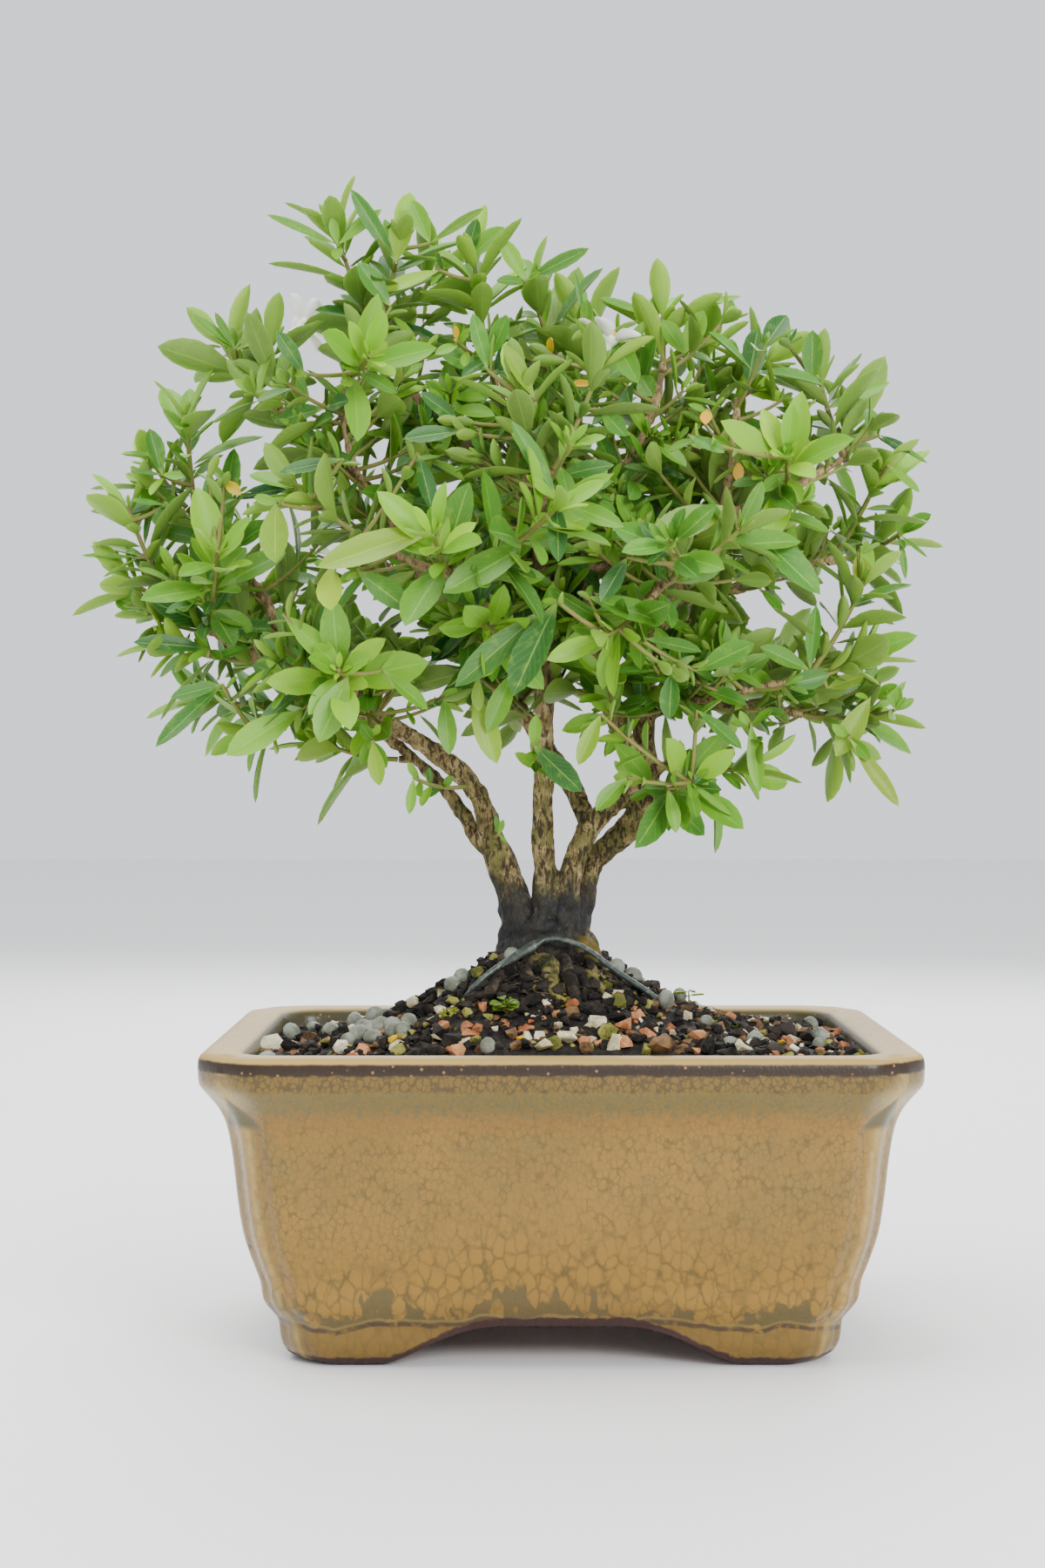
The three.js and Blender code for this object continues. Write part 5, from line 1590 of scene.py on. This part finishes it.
def grain_material(name, dark, light, roughness=0.85, scale=0.9):
    grain = Shader(name, Specular_IOR_Level=0.25)
    spot = grain.place()
    tint = grain.noise(spot, 0.23, 2)
    fine = grain.noise(spot, scale * 3, 3)
    colour = grain.mix(dark, light, grain.step(tint + (fine - 0.5) * 0.5, 0.35, 0.65))
    return grain.feed(bump=fine, strength=0.6, distance=0.25 * MM, Base_Color=colour,
                      Roughness=roughness + fine * 0.1)


def stone_template(look, points=13):
    """A convex stone of about unit size."""
    bm = bmesh.new()
    for _ in range(points):
        way = Vector((look() - 0.5, look() - 0.5, look() - 0.5)).normalized()
        bm.verts.new(way * look.between(0.42, 0.55))
    hull = bmesh.ops.convex_hull(bm, input=bm.verts[:])
    loose = [v for v in hull["geom_interior"] if isinstance(v, bmesh.types.BMVert)]
    bmesh.ops.delete(bm, geom=loose, context="VERTS")
    return mesh_of("stone", bm)


def pellet_template():
    bm = bmesh.new()
    bmesh.ops.create_icosphere(bm, subdivisions=2, radius=0.5)
    return mesh_of("pellet", bm)


print("stones and pellets ready")

# %% [markdown]
# ## Where grains may lie
# A grain must lie on the soil, inside the pot and outside the root crown. Instead of drawing places until
# one fits, which may never end for a small spot, each drawn place is moved to the nearest one that fits.
# Stones that stand out were measured on the photograph: their sight line is followed until it meets the
# soil.

# %% Places on the soil
SOIL_MARGIN = 1.5
SOIL_REACH = (POT_LENGTH / 2 - SOIL_INSET - SOIL_MARGIN, POT_DEPTH / 2 - SOIL_INSET - SOIL_MARGIN)
CROWN_CLEAR = (12.5, 10.5)
LEAST_SHARE = 0.05
MOUND_CLEAR = 24
GRAIN_RISE = 0.8
MOUND_FRONT = (CLUMP_X, -8, 23)


def onto_soil(x, y):
    """The nearest place inside the pot's soil and outside the root crown."""
    from_crown = max(LEAST_SHARE, math.hypot((x - CLUMP_X) / CROWN_CLEAR[0], y / CROWN_CLEAR[1]))
    if from_crown < 1:
        x, y = CLUMP_X + (x - CLUMP_X) / from_crown, y / from_crown
    x, y = (max(-reach, min(reach, value)) for value, reach in zip((x, y), SOIL_REACH))
    over = abs(x) + abs(y) - (sum(SOIL_REACH) - SOIL_CORNER)
    if over > 0:
        x, y = x - math.copysign(over / 2, x), y - math.copysign(over / 2, y)
    return x, y


def on_soil(look, spot=None):
    """A random place on the soil, anywhere or near a spot given as x, y, radius."""
    if spot:
        turn, reach = 2 * math.pi * look(), spot[2] * math.sqrt(look())
        return onto_soil(spot[0] + reach * math.cos(turn), spot[1] + reach * math.sin(turn))
    return onto_soil(look.between(-SOIL_REACH[0], SOIL_REACH[0]),
                     look.between(-SOIL_REACH[1], SOIL_REACH[1]))


def off_mound(look):
    """A random place on the soil, away from the mound where it can be."""
    for _ in range(8):
        x, y = on_soil(look)
        if math.hypot(x - CLUMP_X, y) > MOUND_CLEAR:
            break
    return x, y


def ground(x, y):
    """Where the sight line of a pixel of the photograph meets the soil."""
    for depth in np.arange(-SOIL_REACH[1], SOIL_REACH[1], 0.5):
        place = seen(x, y, depth)
        if place.z < soil_height(place.x, place.y) + GRAIN_RISE:
            break
    return onto_soil(place.x, place.y)


print("soil in front of the trunks", [round(v, 1) for v in ground(627, 1160)])

# %% [markdown]
# ## Scattering the grains
# One piece holds all grains of a kind, because thousands of objects would be slow. Small grains are the most
# common, so a size is drawn from the square of a number. The mound stays nearly free of the lighter kinds.

# %% Grains and crumbs


def grain_size(look, sizes):
    return sizes[0] + (sizes[1] - sizes[0]) * look() ** 2


def scatter(name, templates, places, look, material, flat=0.8, sink=0.2):
    """Fuses many turned copies of a few stones into one piece; a place is x, y and size."""
    bm = bmesh.new()
    for x, y, size in places:
        first = len(bm.verts)
        bm.from_mesh(templates[int(look() * len(templates))])
        bm.verts.ensure_lookup_table()
        turn = Quaternion((look() - 0.5, look() - 0.5, look() - 0.5), 6.3 * look()).to_matrix()
        stretch = Vector((look.between(0.75, 1.25), look.between(0.75, 1.2), 1)) * size
        height = soil_height(x, y) + size * (0.5 - sink) * flat
        for vert in bm.verts[first:]:
            p = turn @ Vector((vert.co.x * stretch.x, vert.co.y * stretch.y, vert.co.z * stretch.z))
            vert.co = (p.x + x, p.y + y, p.z * flat + height)
    piece = new_piece(name, bm, [material])
    piece.data.shade_flat()
    return piece


look = Draws(41)
stones = [stone_template(look) for _ in range(6)]

# Name, how many, how many more on the mound, least and greatest size, darkest and lightest colour, and then
# the largest stones as pixels of the photograph with their size in millimetres
GRAINS = [
    ("soil_crumbs", 1500, 420, (1.1, 4.4), (0.004, 0.0035, 0.003), (0.032, 0.024, 0.018),
     [(449, 1171, 5), (505, 1187, 6), (520, 1198, 5), (486, 1204, 5), (905, 1190, 7), (930, 1196, 6),
      (812, 1204, 6)]),
    ("brown_grit", 400, 14, (1.1, 3.8), (0.055, 0.028, 0.012), (0.19, 0.105, 0.045),
     [(760, 1206, 6), (676, 1206, 4), (590, 1190, 4), (838, 1200, 4), (870, 1183, 4)]),
    ("burnt_clay_chips", 160, 4, (1.2, 4.0), (0.25, 0.075, 0.025), (0.50, 0.23, 0.10),
     [(719, 1180, 5.4), (741, 1194, 5), (717, 1201, 4.4), (800, 1191, 4.4), (672, 1200, 4), (540, 1189, 4.2),
      (526, 1209, 3.6), (610, 1180, 3), (730, 1166, 3), (770, 1180, 3), (548, 1180, 2.8), (655, 1190, 3)]),
    ("pumice_grit", 200, 4, (1.2, 4.4), (0.36, 0.31, 0.16), (0.72, 0.66, 0.46),
     [(312, 1201, 5.6), (396, 1205, 5), (650, 1195, 5.4), (625, 1206, 4.2), (618, 1190, 3.6),
      (686, 1174, 4.6), (705, 1210, 5), (855, 1203, 4.6), (909, 1205, 4), (933, 1178, 4), (640, 1178, 2.6),
      (532, 1196, 3)]),
    ("mossy_grit", 140, 12, (1.2, 4.2), (0.085, 0.09, 0.015), (0.28, 0.26, 0.06),
     [(697, 1188, 5), (456, 1206, 4.4), (518, 1153, 4.4), (636, 1203, 4), (742, 1208, 4), (850, 1168, 4)]),
    ("yellow_chips", 16, 0, (1.2, 2.4), (0.45, 0.25, 0.005), (0.6, 0.38, 0.01),
     [(453, 1196, 3.4), (598, 1192, 2.4)]),
    ("lichen_flecks", 0, 150, (0.5, 1.5), (0.09, 0.10, 0.10), (0.26, 0.29, 0.28), []),
]
for name, count, on_mound, sizes, dark, light, largest in GRAINS:
    anywhere = on_soil if name == "soil_crumbs" else off_mound
    places = [(*anywhere(look), grain_size(look, sizes)) for _ in range(count)]
    places += [(*on_soil(look, MOUND_FRONT), grain_size(look, sizes)) for _ in range(on_mound)]
    places += [(*ground(x, y), size) for x, y, size in largest]
    scatter(name, stones, places, look, grain_material(name + "_finish", dark, light))
print("grains", sum(count + more for _, count, more, *_ in GRAINS))

# %% [markdown]
# Feed pellets lie in a heap on the left and one by one on the mound. A moss cushion is a spot where many
# tiny green grains crowd together, which looks softer than one lump.

# %% Feed pellets and moss
LOOSE_PELLETS = 14
MOSS_GRAINS = 45
PELLETS_SEEN = [
    (335, 1190), (407, 1177), (417, 1184), (431, 1172), (443, 1171), (413, 1194), (437, 1183), (469, 1177),
    (400, 1200), (462, 1187), (428, 1196), (520, 1136), (530, 1127), (588, 1102), (708, 1115), (727, 1124),
    (765, 1154), (560, 1207), (380, 1188), (425, 1188), (450, 1180), (452, 1188), (866, 1196),
]
pellet_finish = grain_material("feed_pellets_finish", (0.12, 0.125, 0.085), (0.27, 0.29, 0.24), 0.55, 1.4)
pellet_places = [(*ground(x, y), look.between(3.4, 4.7)) for x, y in PELLETS_SEEN]
pellet_places += [(*off_mound(look), look.between(3.2, 4.4)) for _ in range(LOOSE_PELLETS)]
pellets = scatter("feed_pellets", [pellet_template()], pellet_places, look, pellet_finish, flat=1, sink=0.12)
pellets.data.shade_smooth()
MOSS_SPOTS = [(627, 1108, 1.8), (631, 1118, 2.4), (636, 1128, 2), (641, 1137, 1.4), (686, 1120, 1.4),
              (694, 1131, 1.6), (650, 1150, 1.6), (513, 1160, 2.4), (820, 1170, 3), (845, 1176, 2.4),
              (650, 1080, 1.6)]
moss_finish = grain_material("moss_cushion_finish", (0.07, 0.085, 0.006), (0.27, 0.27, 0.03), 0.9, 2)
moss_places = []
for x, y, reach in MOSS_SPOTS:
    spot = (*ground(x, y), reach)
    moss_places += [(*on_soil(look, spot), look.between(0.5, 1.3)) for _ in range(MOSS_GRAINS)]
scatter("moss_cushions", stones, moss_places, look, moss_finish, flat=0.9, sink=0.1)
print("pellets", len(pellet_places), "moss grains", len(moss_places))

# %% [markdown]
# ## Roots
# The mound is held together by a net of fine dark roots. Each is a thin tube that wanders down over the
# soil.

# %% Fine roots on the mound
FIBRES = 110
FIBRE_STEPS = 7
fibres = []
for _ in range(FIBRES):
    turn = math.radians(look.between(150, 390))
    reach, radius = look.between(10, 15), look.between(0.14, 0.42)
    line = []
    for _ in range(FIBRE_STEPS):
        x, y = CLUMP_X + reach * math.cos(turn), 0.9 * reach * math.sin(turn)
        line.append((x, y, soil_height(x, y) + look.between(-0.2, 0.9), radius))
        turn += look.between(-0.28, 0.28)
        reach += look.between(0.4, 2.8)
        radius *= 0.9
    fibres.append(line)
fibre_bm = bmesh.new()
add_tubes(fibre_bm, fibres, sides=6, smoothness=3)
root_finish = grain_material("fine_roots_finish", (0.012, 0.009, 0.006), (0.10, 0.075, 0.05), 0.8, 1.2)
new_piece("fine_roots", fibre_bm, [root_finish])
print("fine roots", len(fibres))

# %% [markdown]
# Thicker roots leave the crown at the front, some of them mossy. They are rows of pixels of the photograph
# with a radius, laid on the soil. Pushing the skin in and out by noise keeps them from looking like hoses.

# %% Thick roots
ROOT_LUMPS = 0.9
DARK_ROOTS = [
    [(592, 1092, 1.6), (578, 1112, 1.9), (566, 1132, 1.4), (556, 1150, 0.7)],
    [(648, 1098, 1.4), (654, 1122, 1.7), (662, 1148, 1.1), (668, 1165, 0.5)],
    [(610, 1096, 1.3), (606, 1120, 1.5), (600, 1142, 0.8)],
]
MOSSY_ROOTS = [
    [(618, 1090, 1.5), (630, 1108, 2.3), (632, 1126, 1.7), (643, 1146, 0.7)],
    [(658, 1080, 1.3), (676, 1098, 1.7), (682, 1122, 1.2), (699, 1142, 0.6)],
]


def thick_roots(name, rows, finish):
    root_bm = bmesh.new()
    for row in rows:
        spots = [(*ground(x, y), radius) for x, y, radius in row]
        add_tubes(root_bm, [[(x, y, soil_height(x, y) + 0.2 * radius, radius) for x, y, radius in spots]],
                  sides=12, smoothness=5)
    for vert in root_bm.verts:
        vert.co += vert.normal * ROOT_LUMPS * noise.noise(vert.co * 0.7)
    new_piece(name, root_bm, [finish])


thick_roots("dark_roots", DARK_ROOTS, root_finish)
mossy_finish = grain_material("mossy_root_finish", (0.018, 0.017, 0.009), (0.22, 0.19, 0.055), 0.9, 1.6)
thick_roots("mossy_roots", MOSSY_ROOTS, mossy_finish)
print("thick roots", len(DARK_ROOTS + MOSSY_ROOTS))

# %% [markdown]
# ## Weeds
# Two weeds grow in the pot: a clump of small round leaves at the front of the mound, and a sprout at its
# right edge, with four thin leaves and smaller ones at its foot. They use the same leaf template, only
# shorter.

# %% Weeds
weed_bm = leaf_piece_bm()
weed_stems = []


def weed(x, y, rise, length, width, count, spread, tone):
    """A few leaves on thin stems from one root."""
    foot_x, foot_y = ground(x, y)
    foot = Vector((foot_x, foot_y, soil_height(foot_x, foot_y)))
    for i in range(count):
        turn = 2 * math.pi * (i + look.between(0, 0.6)) / count
        out = Vector((math.cos(turn), math.sin(turn), 0))
        base = foot + Vector((0, 0, rise * look.between(0.6, 1.15))) + out * spread * look()
        weed_stems.append([(*foot, 0.16), (*foot.lerp(base, 0.6), 0.15), (*base, 0.12)])
        along = (out + Vector((0, 0, look.between(-0.1, 0.35)))).normalized()
        size = length * look.between(0.8, 1.2)
        add_leaf(weed_bm, PlacedLeaf(base, along, Vector((0, -0.4, 1)), size, length * width, 0.05, tone))


# Pixel x, y, rise, leaf length, width as a share of length, leaves, spread, and tone
WEEDS = [
    (583, 1160, 2.6, 2.3, 0.95, 16, 2.2, (0.3, 0.9, 0.08)),
    (583, 1160, 1.4, 2.1, 0.95, 12, 2.6, (0.5, 0.8, 0.08)),
    (791, 1155, 4.6, 3.8, 0.14, 4, 0.2, (0.6, 0.3, 0.1)),
    (791, 1155, 0.8, 1.7, 0.7, 7, 0.8, (0.6, 0.15, 0)),
]
for row in WEEDS:
    weed(*row)
leafy_piece("weeds", weed_bm, weed_stems)
print("weed stems", len(weed_stems))

# %% [markdown]
# ## Tie wire
# A wire holds the root ball down, through the pot's two drains. It is one bevelled curve. A flat, pointed
# tip lies over it on the left of the mound, so a second, short bar swells and narrows there.

# %% Tie wire
WIRE_RADIUS = 0.64
WIRE_LINE = [
    (-6, 0, 7.2), (3 - DRAIN_X, 0, 7.2), (-DRAIN_X, 0, 10.6), (-DRAIN_X, 0, 19), (-27, -8, 48),
    (-26, -14, 65), (-19.5, -16, 76), (-11, -13, 82.8), (-3, -11, 87), (3, -11, 86.4), (13, -13.5, 80),
    (22, -16, 73.8), (27.5, -17, 67.5), (27, -10, 49), (DRAIN_X, 0, 19), (DRAIN_X, 0, 10.6),
    (DRAIN_X - 3, 0, 7.2), (7, 0, 7.2),
]
FLAT_TIP = [(-12.5, -14, 81.4, 0.5), (-9, -14, 83.6, 0.85), (-6, -13.4, 85.4, 0.95),
            (-3.2, -12.6, 87.2, 0.4)]

wire_finish = plain_material("coated_wire", (0.03, 0.042, 0.034), (0.10, 0.115, 0.09), 0.8, 4,
                             fade=(0.48, 0.66), rough=(0.4, 0.25), Coat_Weight=0.2)
wire_bm = bmesh.new()
add_tubes(wire_bm, [[(*p, WIRE_RADIUS) for p in WIRE_LINE]], sides=12, smoothness=6)
add_tubes(wire_bm, [FLAT_TIP], sides=10, smoothness=5)
new_piece("tie_wire_coated", wire_bm, [wire_finish], ["tie_wire"])
print("wire through", len(WIRE_LINE), "points")

# %% [markdown]
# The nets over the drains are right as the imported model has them, so they stay and only get a better finish.

# %% Drainage nets
net_finish = plain_material("drainage_net", (0.012, 0.014, 0.013), (0.035, 0.038, 0.035), 3, 3)
for name in ("drainage_mesh_left", "drainage_mesh_right"):
    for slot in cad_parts[name].material_slots:
        slot.material = net_finish
print("nets finished")

# %% [markdown]
# ## Flowers
# The front flower opens at the tip of one shoot: a pale tube that widens, and five white petals on the rules
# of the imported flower. A petal is the leaf template again, shorter and broader. A second flower stands
# farther back, on a stem of its own.

# %% Flowers
PETAL_LENGTH = 7
PETAL_WIDTH = 4.6
PETAL_DROOP = 0.08
PETAL_HEIGHT, PETAL_OUT = 4.75, 1.2

# Height and radius along the flower's tube; then height, distance from its middle, and radius along a stamen
TUBE = [(0, 0.7), (3.2, 0.9), (4.4, 1.7), (5.1, 1.8), (5.5, 0.9)]
STAMEN = [(4, 0.5, 0.22), (6.6, 1.1, 0.34)]


def flower_parts(bow, bm):
    axis = bow.along(1)
    base = bow.point(1) + axis * GAP
    for petal in range(5):
        out = bow.across(1, 72 * petal)
        along = (out * 0.93 + axis * 0.36).normalized()
        foot = base + axis * PETAL_HEIGHT + out * PETAL_OUT
        add_leaf(bm, PlacedLeaf(foot, along, axis, PETAL_LENGTH, PETAL_WIDTH, PETAL_DROOP))
    tube = [(*(base + axis * height), radius) for height, radius in TUBE]
    add_tubes(bm, [tube], 1, sides=12, smoothness=4)
    for stamen in range(5):
        out = bow.across(1, 72 * stamen + 36)
        line = [(*(base + axis * height + out * aside), radius) for height, aside, radius in STAMEN]
        add_tubes(bm, [line], 2, sides=6, smoothness=1)


def flower_bm_on(bow):
    """A flower at the tip of a bow; both sides of its petals, and its tube but for the ends, are white."""
    bm = leaf_piece_bm()
    flower_parts(bow, bm)
    for face in bm.faces:
        if face.material_index == 1 and len(face.verts) < 5:
            face.material_index = 0
    return bm


def straight_stem(root, tip, radii):
    """A row of three points for a short stem with its radii at root, middle and tip."""
    return [(*root.lerp(tip, share), radius) for share, radius in zip((0, 0.5, 1), radii)]


FAR_FLOWER = seen(332, 384, 14)
anther = grain_material("anther_yellow", (0.5, 0.36, 0.08), (0.72, 0.6, 0.25))
FLOWER_MATERIALS = [petal_white, LEAF_MATERIALS[STEM_INDEX], anther]
new_piece("open_flower", flower_bm_on(bows[FLOWERING_SHOOT]), FLOWER_MATERIALS, ["flower"])
far_root = carrier_of(FAR_FLOWER)
far_bm = flower_bm_on(Bow(far_root, FAR_FLOWER))
add_tubes(far_bm, [straight_stem(far_root, FAR_FLOWER, (0.5, 0.4, 0.34))], 1, sides=8, smoothness=3)
new_piece("far_flower", far_bm, FLOWER_MATERIALS)
print("far flower stem", round((FAR_FLOWER - far_root).length, 1), "mm long")

# %% [markdown]
# ## Cut stub
# One limb was cut off short. Its pale end shows among the leaves, so the stub is a bark bar with a thin disc
# of bare wood on its end.

# %% Cut stub
STUB_END = seen(545, 497, -20)
stub_root = carrier_of(STUB_END)
stub_bm = bmesh.new()
add_tubes(stub_bm, [straight_stem(stub_root, STUB_END, (1.8, 1.6, 1.5))], sides=14, smoothness=4)
face_end = STUB_END + (STUB_END - stub_root).normalized() * 0.3
add_tubes(stub_bm, [[(*STUB_END, 1.25), (*face_end, 1.2)]], 1, sides=14, smoothness=1)
cut_wood = grain_material("cut_wood", (0.26, 0.17, 0.08), (0.55, 0.42, 0.24), 0.8, 1.5)
new_piece("cut_stub", stub_bm, [bark, cut_wood])
print("stub", round((STUB_END - stub_root).length, 1), "mm long")
